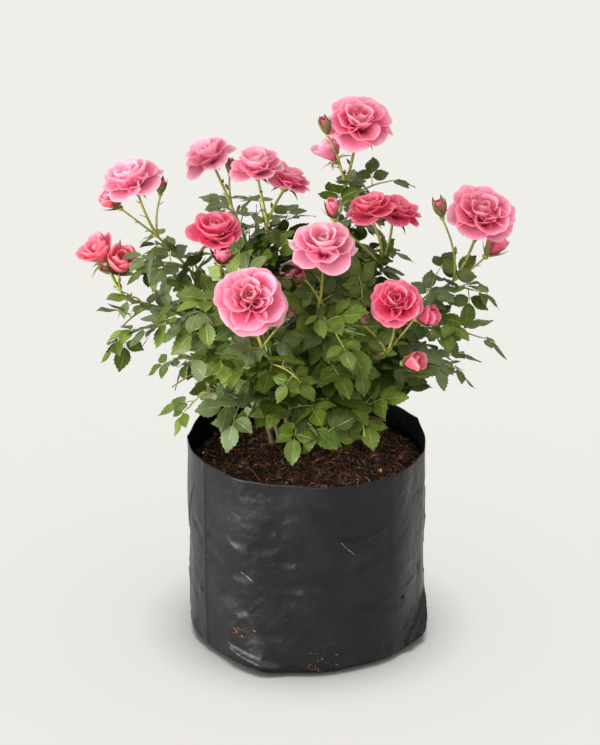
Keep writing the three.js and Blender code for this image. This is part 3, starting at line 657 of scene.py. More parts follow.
class Space:
    """Which mass a point belongs to. It knows all the shoots' lines and stalks as straight pieces, and their
    flowers as balls."""

    def __init__(self, shoots):
        starts, ends, owners, bare, middles, radii, flower_owners = [], [], [], [], [], [], []
        for index, stems in enumerate(shoots):
            for number, stem in enumerate(stems):
                track = stem["line"].points(np.linspace(0, 1, LINE_PIECES + 1))
                pairs = pairs_of(track) + [(track[-1], vec(f["at"])) for f in stem["flowers"]]
                for k, (start, end) in enumerate(pairs):
                    starts.append(start)
                    ends.append(end)
                    owners.append(index)
                    bare.append(number == 0 and k < math.ceil(ENTER * LINE_PIECES))
                for flower in stem["flowers"]:
                    middles.append(vec(flower["at"]))
                    radii.append(flower["across"] / 2)
                    flower_owners.append(index)
        self.starts = np.array(starts)
        self.spans = np.array(ends) - self.starts
        self.squares = (self.spans ** 2).sum(-1)
        self.owners = np.array(owners)
        self.bare = np.array(bare)
        self.middles = np.array(middles)
        self.radii = np.array(radii)
        self.flower_owners = np.array(flower_owners)

    def holds(self, points, index):
        """Whether points lie in a mass's own space, clear of its cane and petals, the compost and the rim."""
        points = np.atleast_2d(points)
        over_compost = np.hypot(points[:, 0], points[:, 1]) < BAG_RADIUS - RIM_BAND
        if (points[:, 2] < np.where(over_compost, GROUND + COMPOST_CLEAR, BAG_HEIGHT + RIM_CLEAR)).any():
            return False
        off = points[:, None] - self.starts
        along = np.clip((off * self.spans).sum(-1) / self.squares, 0, 1)
        to_pieces = np.sqrt(((off - along[..., None] * self.spans) ** 2).sum(-1))
        to_flowers = np.sqrt(((points[:, None] - self.middles) ** 2).sum(-1)) - self.radii
        mine = self.owners == index
        my_flowers = self.flower_owners == index
        if (to_pieces[:, mine & self.bare] < LIMB_CLEAR).any():
            return False
        if (to_flowers[:, my_flowers] < PETAL_CLEAR).any():
            return False
        own = np.minimum(to_pieces[:, mine].min(1), to_flowers[:, my_flowers].min(1)) + 2 * MARGIN
        others = np.minimum(to_pieces[:, ~mine].min(1), to_flowers[:, ~my_flowers].min(1))
        return bool((others > own).all())


def way_out(axis, turn, lift):
    """Where a leaf or a twig points: out from the stem at an angle, turned round it."""
    a, b = across(axis)
    return unit(between(axis, between(a, b, turn), lift))


FACE_OUT = 0.6  # how far a leaf's upper face looks out of the bush, to how far it looks up


def blade(start, way, length, lean):
    """A leaf's root, ring and tip. It faces up and out of the bush, as far as its way lets it."""
    outward = unit(start - vec((*CROWN, start[2])))
    normal = square_to(UP + outward * (FACE_OUT + lean), way)
    side = cross(normal, way)
    belly = start + way * length * LEAF_BELLY
    wide, fold = side * length * LEAF_WIDTH, normal * length * FOLD
    ring = np.array([
        belly + wide + fold,
        belly + normal * LEAF_THICK / 2,
        belly - wide + fold,
        belly - normal * LEAF_THICK / 2,
    ])
    return start - way * SUNK, ring, start + way * length - fold


def outline_of(root, ring, tip):
    """A blade as lines and faces, without the first bit that runs into its twig."""
    neck = lerp(root, tip, NECK)
    left, right = ring[0], ring[2]
    edges = np.array([(neck, left), (left, tip), (tip, right), (right, neck), (neck, tip)])
    return edges, np.array([(neck, left, right), (tip, right, left)])


def cuts(lines, faces):
    """Whether any of the straight lines passes through any of the triangles."""
    if not len(lines) or not len(faces):
        return False
    lines = np.asarray(lines)
    start = lines[:, None, 0]
    way = lines[:, None, 1] - start
    a = faces[None, :, 0]
    ab = faces[None, :, 1] - a
    ac = faces[None, :, 2] - a
    p = np.cross(way, ac)
    size = (ab * p).sum(-1)
    size = np.where(np.abs(size) < 1e-12, np.inf, size)
    away = start - a
    q = np.cross(away, ab)
    u = (away * p).sum(-1) / size
    v = (way * q).sum(-1) / size
    t = (ac * q).sum(-1) / size
    return bool(((u >= 0) & (v >= 0) & (u + v <= 1) & (t > 0) & (t < 1)).any())


class Mass:
    """One shoot's foliage while it grows: its leaves and twigs, and what a new leaf may not cross."""

    def __init__(self, index, space):
        self.index, self.space = index, space
        self.leaves, self.twigs, self.limbs = [], [], []
        self.middles = np.zeros((0, 3))
        self.edges = np.zeros((0, 2, 3))
        self.faces = np.zeros((0, 3, 3))

    def add_leaf(self, start, way, length, lean, spray, fine=False):
        """A leaf, unless it would leave its mass's space, or crowd or cross what has grown before it. A fine
        one may cross others."""
        root, ring, tip = blade(start, way, length, lean)
        middle = ring[1]
        if not self.space.holds([*ring, tip], self.index):
            return False
        if fine and math.hypot(middle[0] - CROWN[0], middle[1] - CROWN[1]) > FINE_REACH:
            if chance(self.index, len(self.leaves), 60) > FINE_OUTSIDE:
                return False
        near = FINE_SPACING if fine else SPACING
        if len(self.middles) and (((self.middles - middle) ** 2).sum(-1) < near ** 2).any():
            return False
        if not fine:
            edges, faces = outline_of(root, ring, tip)
            if cuts(self.limbs, faces) or cuts(edges, self.faces) or cuts(self.edges, faces):
                return False
            self.edges = np.concatenate([self.edges, edges])
            self.faces = np.concatenate([self.faces, faces])
        self.middles = np.concatenate([self.middles, [middle]])
        self.leaves.append({
            "start": start, "way": way, "length": length, "spray": spray, "fine": fine, "named": False,
        })
        return True

    def add_leaves(self, curve, begin, step, salt, fine=False):
        """Leaves along a line, each turned by the golden angle. One that doesn't fit is turned further."""
        nodes = round_half_up(curve.length() * (1 - begin) / step)
        for k in range(1, nodes + 1):
            t = begin + (1 - begin) * (k - 0.4) / nodes
            luck = partial(chance, self.index, salt + k)
            start, axis = curve.point(t), curve.tangent(t)
            for turns in range(TRIES):
                lift = 0.5 + 0.8 * luck(2 + turns)
                way = way_out(axis, k * TURN + salt + turns * TURN_ON + luck(1), lift)
                way[2] -= DROOP[0] + DROOP[1] * luck(30)
                length = LEAF_LENGTH * (0.85 + 0.25 * luck(31)) * (1 - 0.35 * turns / TRIES)
                length *= FINE_LEAF if fine else 1
                if self.add_leaf(start, unit(way), length, 0.4 * luck(32), salt, fine):
                    break

    def add_twig(self, curve, salt, fine=False):
        """A side twig with a leaf at its end and more along it, skipped if it would leave its space."""
        points = curve.points((0, 0.6, 1))
        if not self.space.holds(points[1:], self.index):
            return False
        pieces = pairs_of(points)
        if not fine and cuts(pieces, self.faces):
            return False
        way = curve.tangent(1)
        length = LEAF_LENGTH * (0.9 * FINE_LEAF if fine else 0.9)
        if not self.add_leaf(points[-1] - way * 1.2, way, length, 0.2, salt, fine):
            return False
        self.limbs += pieces
        self.twigs.append((curve, fine))
        self.add_leaves(curve, 0.25, FINE_NODE if fine else TWIG_NODE, salt, fine)
        return True

    def add_twigs(self, stem, salt, fine=False):
        """Side twigs along a stem, as long as the mass's space lets them be."""
        line, bare = stem["line"], stem["bare"]
        nodes = round_half_up(line.length() * (1 - bare) / (TWIG_STEP / 2 if fine else TWIG_STEP))
        for k in range(1, nodes + 1):
            luck = partial(chance, self.index, salt + k)
            t = bare + (1 - bare) * (k - 0.7) / nodes
            at, axis = line.point(t), line.tangent(t)
            for turns in range(TRIES):
                way = way_out(axis, k * TURN + 2 + turns * TURN_ON + luck(40), 0.9 + 0.3 * luck(41))
                length = (0.7 + 0.6 * luck(42)) * (1 - 0.6 * turns / TRIES)
                length *= FINE_TWIG if fine else TWIG_LENGTH
                bend = at + way * length * 0.55 + UP * length * 0.1
                if self.add_twig(Bow(at, bend, at + way * length), salt + 50 * k, fine):
                    break

    def add_spray(self, line, begin, tip, salt):
        """A long twig that stands out of the crown and arches over. Its end leaf reaches the named tip."""
        start, tip = line.point(begin), vec(tip)
        reach = tip - start
        end = tip - unit(reach) * LEAF_LENGTH * 0.8 + UP * 3
        bend = lerp(start, end, 0.55) + UP * math.sqrt(reach @ reach) * 0.1
        self.add_twig(Bow(start, bend, end), salt)


def round_half_up(number):
    """Rounds as the source does."""
    return math.floor(number + 0.5)


def grow(index, stems, space):
    """A shoot's foliage: first the sprays that the photo shows, then the source's twigs and leaves, and then
    finer ones between them. Each stem and each kind of growth has its own numbers to take chances from."""
    mass = Mass(index, space)
    for i, stem in enumerate(stems):
        mass.limbs += pairs_of(stem["line"].points(np.linspace(0, 1, LINE_PIECES + 1)))
        for j, (begin, tip) in enumerate(stem["sprays"]):
            mass.add_spray(stem["line"], begin, tip, 5000 * i + 2000 + 100 * j)
    for leaf in mass.leaves:
        leaf["named"] = True
    mass.named_twigs = len(mass.twigs)
    for i, stem in enumerate(stems):
        mass.add_twigs(stem, 5000 * i)
    for i, stem in enumerate(stems):
        mass.add_leaves(stem["line"], stem["bare"], STEM_NODE, 5000 * i + 3000)
    coarse = list(mass.twigs)
    for i, stem in enumerate(stems):
        mass.add_twigs(stem, 40000 + 5000 * i, fine=True)
        mass.add_leaves(stem["line"], stem["bare"], FINE_NODE, 60000 + 5000 * i, fine=True)
    for i, (curve, _) in enumerate(coarse):
        mass.add_leaves(curve, 0.15, FINE_NODE, 80000 + 100 * i, fine=True)
    return mass


# Leaves

LEAFLET_STATIONS = 15
LEAFLET_ACROSS = np.array([-1, -0.55, 0, 0.55, 1])
TOOTH = 0.055  # how far a tooth stands out, as a share of the half width
TOOTH_LEAN = 0.5  # how far a tooth leans towards the tip, in stations


def leaflet_pattern():
    """A flat leaflet of length 1 and half width 1: an oval with a pointed tip and fine teeth."""
    shares = np.linspace(0, 1, LEAFLET_STATIONS)
    wide = np.sin(math.pi * shares ** 0.84) ** (0.66 + 0.6 * shares) + 0.015
    odd = (np.arange(LEAFLET_STATIONS) % 2).astype(float)
    v, u = np.meshgrid(shares, LEAFLET_ACROSS, indexing="ij")
    margin = np.abs(u) == 1
    half = wide[:, None] * np.where(margin, 1 + TOOTH * (2 * odd[:, None] - 1), 1)
    along = v + np.where(margin, odd[:, None] * TOOTH_LEAN / (LEAFLET_STATIONS - 1), 0)
    return u.ravel(), v.ravel(), (u * half).ravel(), along.ravel()


LEAFLET_U, LEAFLET_V, LEAFLET_X, LEAFLET_Y = leaflet_pattern()
LEAFLET_FACES = grid_faces(LEAFLET_STATIONS, len(LEAFLET_ACROSS))
LEAFLET_PLACES = np.stack([0.5 + 0.5 * LEAFLET_U, LEAFLET_V], -1)
LEAFLET_RATIO = 0.32  # half width of a leaflet to its length
# A leaflet's fold, curl, sag, waves, the phase of its waves and its skew: the least and the most
LEAFLET_LEAST = (0.04, 0.0, 0.02, 0.02), (0, -0.1)
LEAFLET_MOST = (0.42, 0.3, 0.2, 0.09), (ANY_TURN, 0.1)


def add_leaflet(heap, root, way, normal, length, slot, width=LEAFLET_RATIO, slack=1.0):
    """One serrated leaflet, folded a little along its rib, arched down to its tip and wavy at its margin."""
    side = cross(normal, way)
    half = length * width
    fold, curl, sag, wave = RNG.uniform(LEAFLET_LEAST[0], LEAFLET_MOST[0])
    phase, skew = RNG.uniform(LEAFLET_LEAST[1], LEAFLET_MOST[1])
    x = LEAFLET_X * half
    z = fold * np.abs(x) - curl * half * LEAFLET_U ** 2 * np.sin(math.pi * LEAFLET_V)
    z += wave * half * np.sin(9 * LEAFLET_V + phase + 1.5 * LEAFLET_U) * np.abs(LEAFLET_U)
    drop = slack * sag * LEAFLET_V ** 2
    y = LEAFLET_Y * length * (1 - 0.35 * drop * LEAFLET_V)
    z = z - drop * length
    x = x + skew * length * LEAFLET_V ** 2
    points = root + np.outer(y, way) + np.outer(x, side) + np.outer(z, normal)
    heap.add(points, LEAFLET_FACES, slot, LEAFLET_PLACES)


# How a leaf is made up, as shares of its length: where each pair of leaflets sits and how long they are, and
# the same for the one at its end
SMALL_LEAF = {"pairs": ((0.24, 0.56),), "end": (0.38, 0.68)}
BIG_LEAF = {"pairs": ((0.13, 0.44), (0.33, 0.54)), "end": (0.46, 0.64)}
BIG_FROM = 0.86  # of LEAF_LENGTH, how long a leaf with two pairs is at least
BIG_SHARE = 0.6  # how many of the long leaves have two pairs
OUTER_LEAF = 0.8  # the share of their length that leaves in the open have
BLOSSOM_CLEAR = 8  # how far leaves bend away from a flower
RACHIS = 0.42  # radius
END_SLACK = 0.6  # how far the leaflet at the end sags, as a share of the others' sag


def skirt(x, y):
    """How low fine leaves hang. In front and at the sides they leave the compost and the rim in sight."""
    return SKIRT + SKIRT_FRONT * max(0, -y) + SKIRT_SIDE * max(0, abs(x) - SKIRT_MIDDLE)


def in_crown(start):
    """Whether the bush is dense enough for a fine leaf: above its skirt, and less often at its open top."""
    return start[2] > skirt(*start[:2]) and (start[2] < OPEN_TOP or RNG.random() < TOP_SHARE)


def is_grown(leaf):
    """Whether a leaf is kept: all that the photo shows, and the rest where the bush isn't bare."""
    if leaf["fine"]:
        return in_crown(leaf["start"])
    return leaf["named"] or leaf["start"][2] > skirt(*leaf["start"][:2]) - SKIRT_DROP


def is_bare(twig, slack):
    """Whether none of a twig's leaves is grown, as all of it is too far below the skirt."""
    return all(z < skirt(x, y) - slack for x, y, z in twig.points((0.25, 0.6, 1)))


def in_open(start):
    """Whether a leaf grows at the open outside or the open top of the bush."""
    return math.hypot(start[0] - CROWN[0], start[1] - CROWN[1]) > FINE_REACH or start[2] > OPEN_TOP


def leaf_facing(start, way):
    """Which way a leaf's upper face looks. In the open leaves lie nearly level. Further in they roll and tip
    each their own way, and most turn to the light."""
    outward = unit(start - vec((*CROWN, start[2])))
    if in_open(start):
        facing = UP + outward * RNG.uniform(-0.1, 0.45) + FRONT * RNG.uniform(-0.1, 0.35)
        return square_to(facing + RNG.normal(0, 0.15, 3), way)
    lit = min(1, max(0, (60 - start[1]) / 70))
    facing = UP * RNG.uniform(0.45, 1.0) + outward * RNG.uniform(0.2, 0.7)
    facing = facing + FRONT * RNG.normal(0.5 * lit - 0.12, 0.34) + RNG.normal(0, 0.2, 3)
    return square_to(facing, way)


def off_blossom(leaf, space):
    """Bends a leaf away from the nearest flower when it would lie against its petals."""
    middle = leaf["start"] + leaf["way"] * leaf["length"] * 0.75
    gaps = middle - space.middles
    far = np.sqrt((gaps ** 2).sum(-1))
    near = np.argmin(far - space.radii)
    outside = np.hypot(*(middle[:2] - CROWN)) > np.hypot(*(space.middles[near][:2] - CROWN))
    if outside and far[near] - space.radii[near] < BLOSSOM_CLEAR:
        leaf["way"] = unit(leaf["way"] + gaps[near] / far[near] * 0.9)


def add_leaf(leaves, twigs, leaf, slot):
    """A rose leaf: a thin rachis with one or two pairs of leaflets and one at its end."""
    start, length = leaf["start"], leaf["length"]
    way = leaf["way"].copy()
    if leaf["named"]:
        low = SKIRT + SKIRT_NAMED * max(0, start[0])
    else:
        low = max(SKIRT, skirt(*start[:2]) - SKIRT_EASE)
    way[2] = max(way[2], min(0.9, (low - start[2]) / length))
    way = unit(way)
    if in_open(start):
        length *= OUTER_LEAF
    normal = leaf_facing(start, way)
    side = cross(normal, way)
    make = BIG_LEAF if length > BIG_FROM * LEAF_LENGTH and RNG.random() < BIG_SHARE else SMALL_LEAF
    reach, size = make["end"]
    droop = normal * length * FOLD
    bend = start + way * length * 0.5 * reach + droop * 0.6
    rachis = Bow(start, bend, start + way * length * reach - droop * 0.2)
    thick = (RACHIS * 1.25, RACHIS, RACHIS * 0.85, RACHIS * 0.6)
    add_tube(twigs, rachis.points((0, 0.35, 0.7, 1)), thick, 4, STALK_LIME)
    for share, part in make["pairs"]:
        at = rachis.point(share / reach)
        for hand in (-1, 1):
            spread = RNG.uniform(0.95, 1.35)
            out = way * math.cos(spread) + side * hand * math.sin(spread)
            out = unit(out + normal * RNG.uniform(-0.25, 0.15))
            facing = unit(normal + side * hand * RNG.uniform(-0.35, 0.15) + way * RNG.uniform(-0.25, 0.25))
            span = length * part * RNG.uniform(0.9, 1.12)
            add_leaflet(leaves, at + out * 0.8, out, square_to(facing, out), span, slot)
    out = unit(rachis.tangent(1) + side * RNG.uniform(-0.15, 0.15) - normal * RNG.uniform(0, 0.12))
    span = length * size * RNG.uniform(0.94, 1.04)
    add_leaflet(leaves, rachis.point(1), out, square_to(normal, out), span, slot, slack=END_SLACK)


# Painted shade and light: the darkest greens go to leaves deep in the bush, and paler ones to leaves on its
# lit left side
SHADE_MIDDLE = 15  # how far right of the middle the darkest leaves are
SHADE_HALF = 62  # and how far they reach to both sides of it
SHADE_TOP = 320  # up to what height
LIT_SIDE = -45  # leaves further left than this are in good light and paler
LOW = 228  # leaves lower than this are younger: some get a bright green of new growth that is partly painted light coming through the leaves
SPRAY_LUCK = 0.62  # how far a leaf's green is its spray's
LEAF_LUCK = 0.38  # and how far its own


def leaf_slot(leaf, spray_luck):
    """The green of a leaf: its spray's, painted shade deep in the bush and painted light on its lit side. Low
    down some get a bright green of new growth that is partly painted light coming through the leaves.
    """
    x, _, z = leaf["start"] + leaf["way"] * leaf["length"]
    pick = SPRAY_LUCK * spray_luck + LEAF_LUCK * RNG.random()
    # Painted shade: leaves deep in the bush get the darkest greens. Painted light: leaves on the lit side get
    # paler ones, and some low ones a bright green that is partly light coming through the leaves
    if abs(x - SHADE_MIDDLE) < SHADE_HALF and z < SHADE_TOP:
        order = ("dark", "deep", "dark", "deep", "mid", "deep", "dark")
    elif x < LIT_SIDE:
        order = ("mid", "grey", "deep", "fresh", "grey", "mid", "mid", "grey")
    elif z < LOW:
        order = ("deep", "mid", "deep", "grey", "dark", "deep", "young")
    else:
        order = ("deep", "mid", "dark", "deep", "grey", "mid")
    return list(LEAF_GREENS).index(order[int(pick * len(order)) % len(order)])


# Flowers

PETAL_ACROSS = np.linspace(-1, 1, 11)
PETAL_ALONG = np.linspace(0, 1, 10) ** 0.85
PETAL_V, PETAL_U = grid(PETAL_ALONG, PETAL_ACROSS)
PETAL_FACES = grid_faces(len(PETAL_ALONG), len(PETAL_ACROSS))
PETAL_PLACES = np.stack([0.5 + 0.5 * PETAL_U, PETAL_V], -1)
SHEATH = 0.07  # radius of the ring that petals stand on, as a share of the flower's radius

# Rows of petals, from the outside in: how many, how far they lean out from the flower's axis at the foot and
# at the rim (radians), their length and half width as shares of the flower's radius, and how closely they are
# cupped. A cupped heart is shut like a ball, and an open one shows its stamens.
OUTER_ROWS = [
    {"count": 5, "foot": 1.15, "rim": 2.05, "length": 1.00, "half": 0.64, "cup": 1.20},
    {"count": 5, "foot": 1.02, "rim": 1.30, "length": 1.02, "half": 0.68, "cup": 0.80},
    {"count": 4, "foot": 0.92, "rim": 0.62, "length": 1.02, "half": 0.68, "cup": 0.72},
]
HEARTS = {
    "cupped": [
        {"count": 4, "foot": 0.76, "rim": 0.10, "length": 0.94, "half": 0.60, "cup": 0.72},
        {"count": 3, "foot": 0.56, "rim": -0.45, "length": 0.80, "half": 0.50, "cup": 0.75},
        {"count": 2, "foot": 0.34, "rim": -0.30, "length": 0.62, "half": 0.34, "cup": 0.80},
    ],
    "open": [
        {"count": 5, "foot": 0.74, "rim": 0.30, "length": 0.88, "half": 0.50, "cup": 0.72},
        {"count": 5, "foot": 0.50, "rim": 0.02, "length": 0.74, "half": 0.36, "cup": 0.66},
        {"count": 4, "foot": 0.30, "rim": 0.00, "length": 0.56, "half": 0.24, "cup": 0.60},
    ],
}
FULL_BLOWN = 0.95  # from here on a flower's heart is open
HALF_OPEN = 0.5  # below this a flower has fewer rows
BUD = 0.3  # below this it is a bud
# How far below its middle a flower's foot and the seat of its petals are, as shares of its radius
FLOWER_FOOT, FLOWER_SEAT = 0.78, 0.55
BUD_FOOT, BUD_SEAT = 1.15, 0.8
BUD_CUP = 1.05
BUD_HALF = 1.1
LONGEST = 2.4  # of the flower's radius, how long the petals of a narrow bud are at most
SHUT_FOOT = 0.8  # how far petals lean out at the foot of a closed bud
SHUT_RIM = -0.42  # how far they lean in at its tip
LAG = 0.3  # how much later each row opens than the one outside it


def profile(foot, rim, steps=24):
    """A petal's middle line for a length of 1: how far out and up it is at each share of its length."""
    shares = np.linspace(0, 1, steps + 1)
    lean = foot + (rim - foot) * shares
    step = 1 / steps
    middle = (lean[1:] + lean[:-1]) / 2
    out = np.concatenate([[0], np.cumsum(np.sin(middle)) * step])
    up = np.concatenate([[0], np.cumsum(np.cos(middle)) * step])
    return shares, lean, out, up


def add_petal(heap, spot, bearing, row, size, slot):
    """One petal: narrow at its foot, wide and ruffled at its rim, cupped round the flower's axis."""
    centre, axis, a, b = spot["frame"]
    radial = between(a, b, bearing)
    around = cross(axis, radial)
    radius, bloom = spot["radius"], spot["open"]
    notch, ruffle, phase, roll = RNG.uniform((0.0, 0.01, 0, 0.1), (0.08, 0.04, ANY_TURN, 0.8))
    tip, tilt, skew, girth = RNG.normal(0, (0.12, 0.09, 0.05, 0.06)) * (0.3 + 0.7 * bloom)
    shares, lean, out, up = profile(row["foot"] + tilt, row["rim"] + tip)
    u, v = PETAL_U, PETAL_V
    top = 1 - 0.42 * np.abs(u) ** 2.2 - notch * np.exp(-((u / 0.2) ** 2)) + 0.02 * np.sin(7 * u + phase)
    along = v * top
    width = 0.22 + 0.78 * np.sin(np.clip(v / 0.74, 0, 1) * math.pi / 2) ** 1.1
    half = row["half"] * (1 + girth) * radius * width
    r = SHEATH * radius + size * np.interp(along, shares, out)
    h = size * np.interp(along, shares, up)
    angle = np.interp(along, shares, lean)
    wrap = row["cup"] * np.maximum(r, 0.2 * radius) * (1 + 0.25 * np.clip(v - 0.6, 0, 1))
    turn = u * half / wrap
    sideways = wrap * np.sin(turn) + skew * size * v ** 2
    lift = wrap * (1 - np.cos(turn))
    side_roll = 0.5 * np.clip(np.abs(u) - 0.5, 0, 1) ** 1.5 * v ** 2
    rim_roll = 0.3 * np.clip(v - 0.78, 0, 1) ** 1.3
    lift -= roll * bloom * radius * (side_roll + rim_roll)
    lift += ruffle * radius * v ** 2.5 * np.sin(2.6 * math.pi * u + phase) * (0.3 + 0.7 * bloom)
    r = r - np.cos(angle) * lift
    h = h + np.sin(angle) * lift
    points = centre + np.outer(r, radial) + np.outer(h, axis) + np.outer(sideways, around)
    heap.add(points, PETAL_FACES, slot, PETAL_PLACES)


def flower_frame(spec):
    """Where a flower's petals are seated, its axis and the two ways square to it, its foot and its size."""
    axis = unit(vec(spec["face"]))
    a, b = across(axis)
    radius = spec["across"] / 2
    bud = spec["open"] < BUD
    foot = vec(spec["at"]) - axis * radius * (BUD_FOOT if bud else FLOWER_FOOT)
    seat = vec(spec["at"]) - axis * radius * (BUD_SEAT if bud else FLOWER_SEAT)
    opened = min(1, max(0, (spec["open"] - 0.08) / 0.9)) ** 0.8
    return {"frame": (seat, axis, a, b), "radius": radius, "open": opened, "foot": foot, "bud": bud}


def add_bloom(petals, spec):
    """All the petals of a flower or a bud, row by row from the outside in."""
    spot = flower_frame(spec)
    radius, opened = spot["radius"], spot["open"]
    rows = OUTER_ROWS + HEARTS["open" if spec["open"] >= FULL_BLOWN else "cupped"]
    if spec["open"] < HALF_OPEN:
        rows = rows[1:4] if spot["bud"] else rows[1:5]
    outer = None
    bearing = RNG.uniform(0, ANY_TURN)
    for number, base in enumerate(rows):
        row = dict(base)
        unfurled = opened ** (1 + LAG * number)
        row["foot"] = lerp(SHUT_FOOT - 0.1 * number, base["foot"], unfurled)
        row["rim"] = lerp(SHUT_RIM, base["rim"], unfurled)
        if spot["bud"]:
            row["half"] = BUD_HALF - 0.12 * number
            row["count"] = 4 - (number > 0)
            row["cup"] = BUD_CUP
        else:
            row["cup"] = lerp(BUD_CUP, base["cup"], unfurled)
            row["half"] = base["half"] * lerp(1.2, 1, unfurled)
        if outer is None:
            widest = profile(row["foot"], row["rim"])[2].max()
            outer = min((1.04 - SHEATH) * radius / widest, LONGEST * radius)
        size = outer * base["length"] / rows[0]["length"]
        slot = PETAL_SLOT[spec["tone"]] + (number > 2)
        for _ in range(row["count"]):
            bearing += math.tau / row["count"] * RNG.uniform(0.85, 1.15)
            add_petal(petals, spot, bearing, row, size * RNG.uniform(0.9, 1.06), slot)
        bearing += math.pi / row["count"]
    return spot


SEPALS = 5
SEPAL_ALONG = np.linspace(0, 1, 7)
SEPAL_ACROSS = np.array([-1, 0, 1])
SEPAL_V, SEPAL_U = grid(SEPAL_ALONG, SEPAL_ACROSS)
SEPAL_FACES = grid_faces(len(SEPAL_ALONG), len(SEPAL_ACROSS))


def add_sepals(greenery, spot, shut):
    """Five long pointed sepals: laid back under a flower, up the sides of a bud, closed over a shut one."""
    seat, axis, a, b = spot["frame"]
    radius = spot["radius"]
    for k in range(SEPALS):
        bearing = math.tau * (k + RNG.uniform(-0.15, 0.15)) / SEPALS
        radial = between(a, b, bearing)
        around = cross(axis, radial)
        if shut:
            foot, rim, length, half = 0.75, RNG.uniform(-0.5, -0.2), 2.7 * radius, 0.82 * radius
        elif spot["bud"]:
            foot, rim, length, half = 0.9, RNG.uniform(0.1, 0.7), 2.1 * radius, 0.4 * radius
        else:
            foot, rim, length, half = 1.2, RNG.uniform(1.9, 2.7), 15 + 0.1 * radius, 2.4
        shares, lean, out, up = profile(foot, rim)
        r = 0.16 * radius + length * np.interp(SEPAL_V, shares, out)
        h = -0.03 * radius + length * np.interp(SEPAL_V, shares, up)
        belly = np.sin(math.pi * np.clip(SEPAL_V, 0, 1) ** 0.6) * (1 - 0.55 * SEPAL_V)
        width = half * (belly + 0.12 * (1 - SEPAL_V) + 0.02)
        wrap = np.maximum(r, 0.4 * radius)
        turn = SEPAL_U * width / wrap
        sideways = wrap * np.sin(turn)
        back = wrap * (1 - np.cos(turn))
        r = r - back * np.cos(np.interp(SEPAL_V, shares, lean))
        points = seat + np.outer(r, radial) + np.outer(h, axis) + np.outer(sideways, around)
        greenery.add(points, SEPAL_FACES, SEPAL)


HIP = 3.6  # the most that a hip's radius is
HIP_SHARE = 0.32  # its share of a small flower's radius
HIP_ALONG = np.array([0, 0.2, 0.5, 0.8, 1.05])
HIP_GIRTH = np.array([0.3, 0.62, 0.95, 1.0, 0.7])


def add_hip(greenery, spot):
    """The round green seat that the petals and sepals stand on."""
    radius = min(HIP, HIP_SHARE * spot["radius"])
    points = spot["foot"] + np.outer(HIP_ALONG, spot["frame"][0] - spot["foot"])
    add_tube(greenery, points, radius * HIP_GIRTH, 8, STALK_LIME)


STAMENS = 16


def add_stamens(greenery, spot):
    """A small tuft of stamens in the heart of a flower that is wide open."""
    seat, axis, a, b = spot["frame"]
    for k in range(STAMENS):
        bearing, lean = k * TURN, RNG.uniform(0.05, 0.45)
        out = unit(axis + between(a, b, bearing) * lean)
        root = seat + axis * spot["radius"] * 0.2
        end = root + out * spot["radius"] * RNG.uniform(0.28, 0.4)
        add_tube(greenery, np.array([root, lerp(root, end, 0.5), end]), (0.2, 0.2, 0.2), 3, STAMEN)
        anther = np.array([end - out * 0.4, end + out * 0.3, end + out])
        add_tube(greenery, anther, (0.3, 0.6, 0.3), 4, STAMEN)


STALK = 1.25  # radius
BRACTS = 2  # small leaves on a flower's stalk


def add_flower(petals, greenery, line, spec):
    """A flower on its stalk, which leaves the truss along the stem and bends to the flower's foot."""
    spot = add_bloom(petals, spec)
    axis = spot["frame"][1]
    truss = line.point(1)
    gap = truss - spot["foot"]
    reach = math.sqrt(gap @ gap)
    bend = lerp(truss + line.tangent(1) * reach * 0.3, spot["foot"] - axis * reach * 0.3, 0.5)
    stalk = Bow(truss - line.tangent(1) * 1.5, bend, spot["foot"] + axis * 0.6)
    thick = STALK * (0.75 if spot["bud"] else 1)
    radii = np.linspace(thick * 1.05, thick * 0.85, 9)
    add_tube(greenery, stalk.points(np.linspace(0, 1, 9)), radii, 7, STALK_LIME)
    for share in RNG.uniform(0.2, 0.8, BRACTS):
        way = way_out(stalk.tangent(share), RNG.uniform(0, ANY_TURN), 0.7)
        add_leaflet(greenery, stalk.point(share), way, square_to(UP, way), RNG.uniform(5, 9), SEPAL, 0.2)
    add_hip(greenery, spot)
    add_sepals(greenery, spot, spec["tone"] == "shut")
    if spec["open"] >= FULL_BLOWN:
        add_stamens(greenery, spot)


# Canes, stems and twigs

def add_cane(heap, stem):
    """The bare foot of a shoot, flared where it leaves the compost, with swollen nodes."""
    shares = np.linspace(0, ENTER * 1.04, 14)
    swell = 1 + 0.12 * np.maximum(0, np.cos(shares / ENTER * 6 * math.pi)) ** 6
    radii = (CANE_FOOT + (CANE_TIP - CANE_FOOT) * shares / ENTER) * swell
    radii[0] *= FLARE
    points = stem["line"].points(shares)
    points[0] -= UP * 3
    add_tube(heap, points, radii, 10, STALK_FLUSHED)


def add_stem(heap, stem):
    """The leafy rest of a shoot or a branch."""
    shares = np.linspace(stem["bare"], 1, 18)
    radii = STEM * (1.12 - 0.42 * shares) * (1 + 0.1 * np.sin(40 * shares) ** 6)
    slot = STALK_GREEN if stem["bare"] else STALK_FLUSHED
    add_tube(heap, stem["line"].points(shares), radii, 8, slot)


def add_thorns(heap, line, low, high, every, thick):
    """Broad-based thorns that hook down a limb of that radius, from one share of its line to another."""
    count = int(line.length() * (high - low) / every)
    for k in range(count):
        t = low + (high - low) * (k + RNG.uniform(0.2, 0.8)) / count
        axis = line.tangent(t)
        out = way_out(axis, RNG.uniform(0, ANY_TURN), math.pi / 2)
        root = line.point(t) + out * thick * 0.6
        size = RNG.uniform(1.6, 2.9)
        tip = root + out * size - axis * size * 0.45
        points = np.array([root, lerp(root, tip, 0.5) + axis * size * 0.12, tip])
        add_tube(heap, points, (size * 0.34, size * 0.17, 0.06), 5, STALK_FLUSHED)


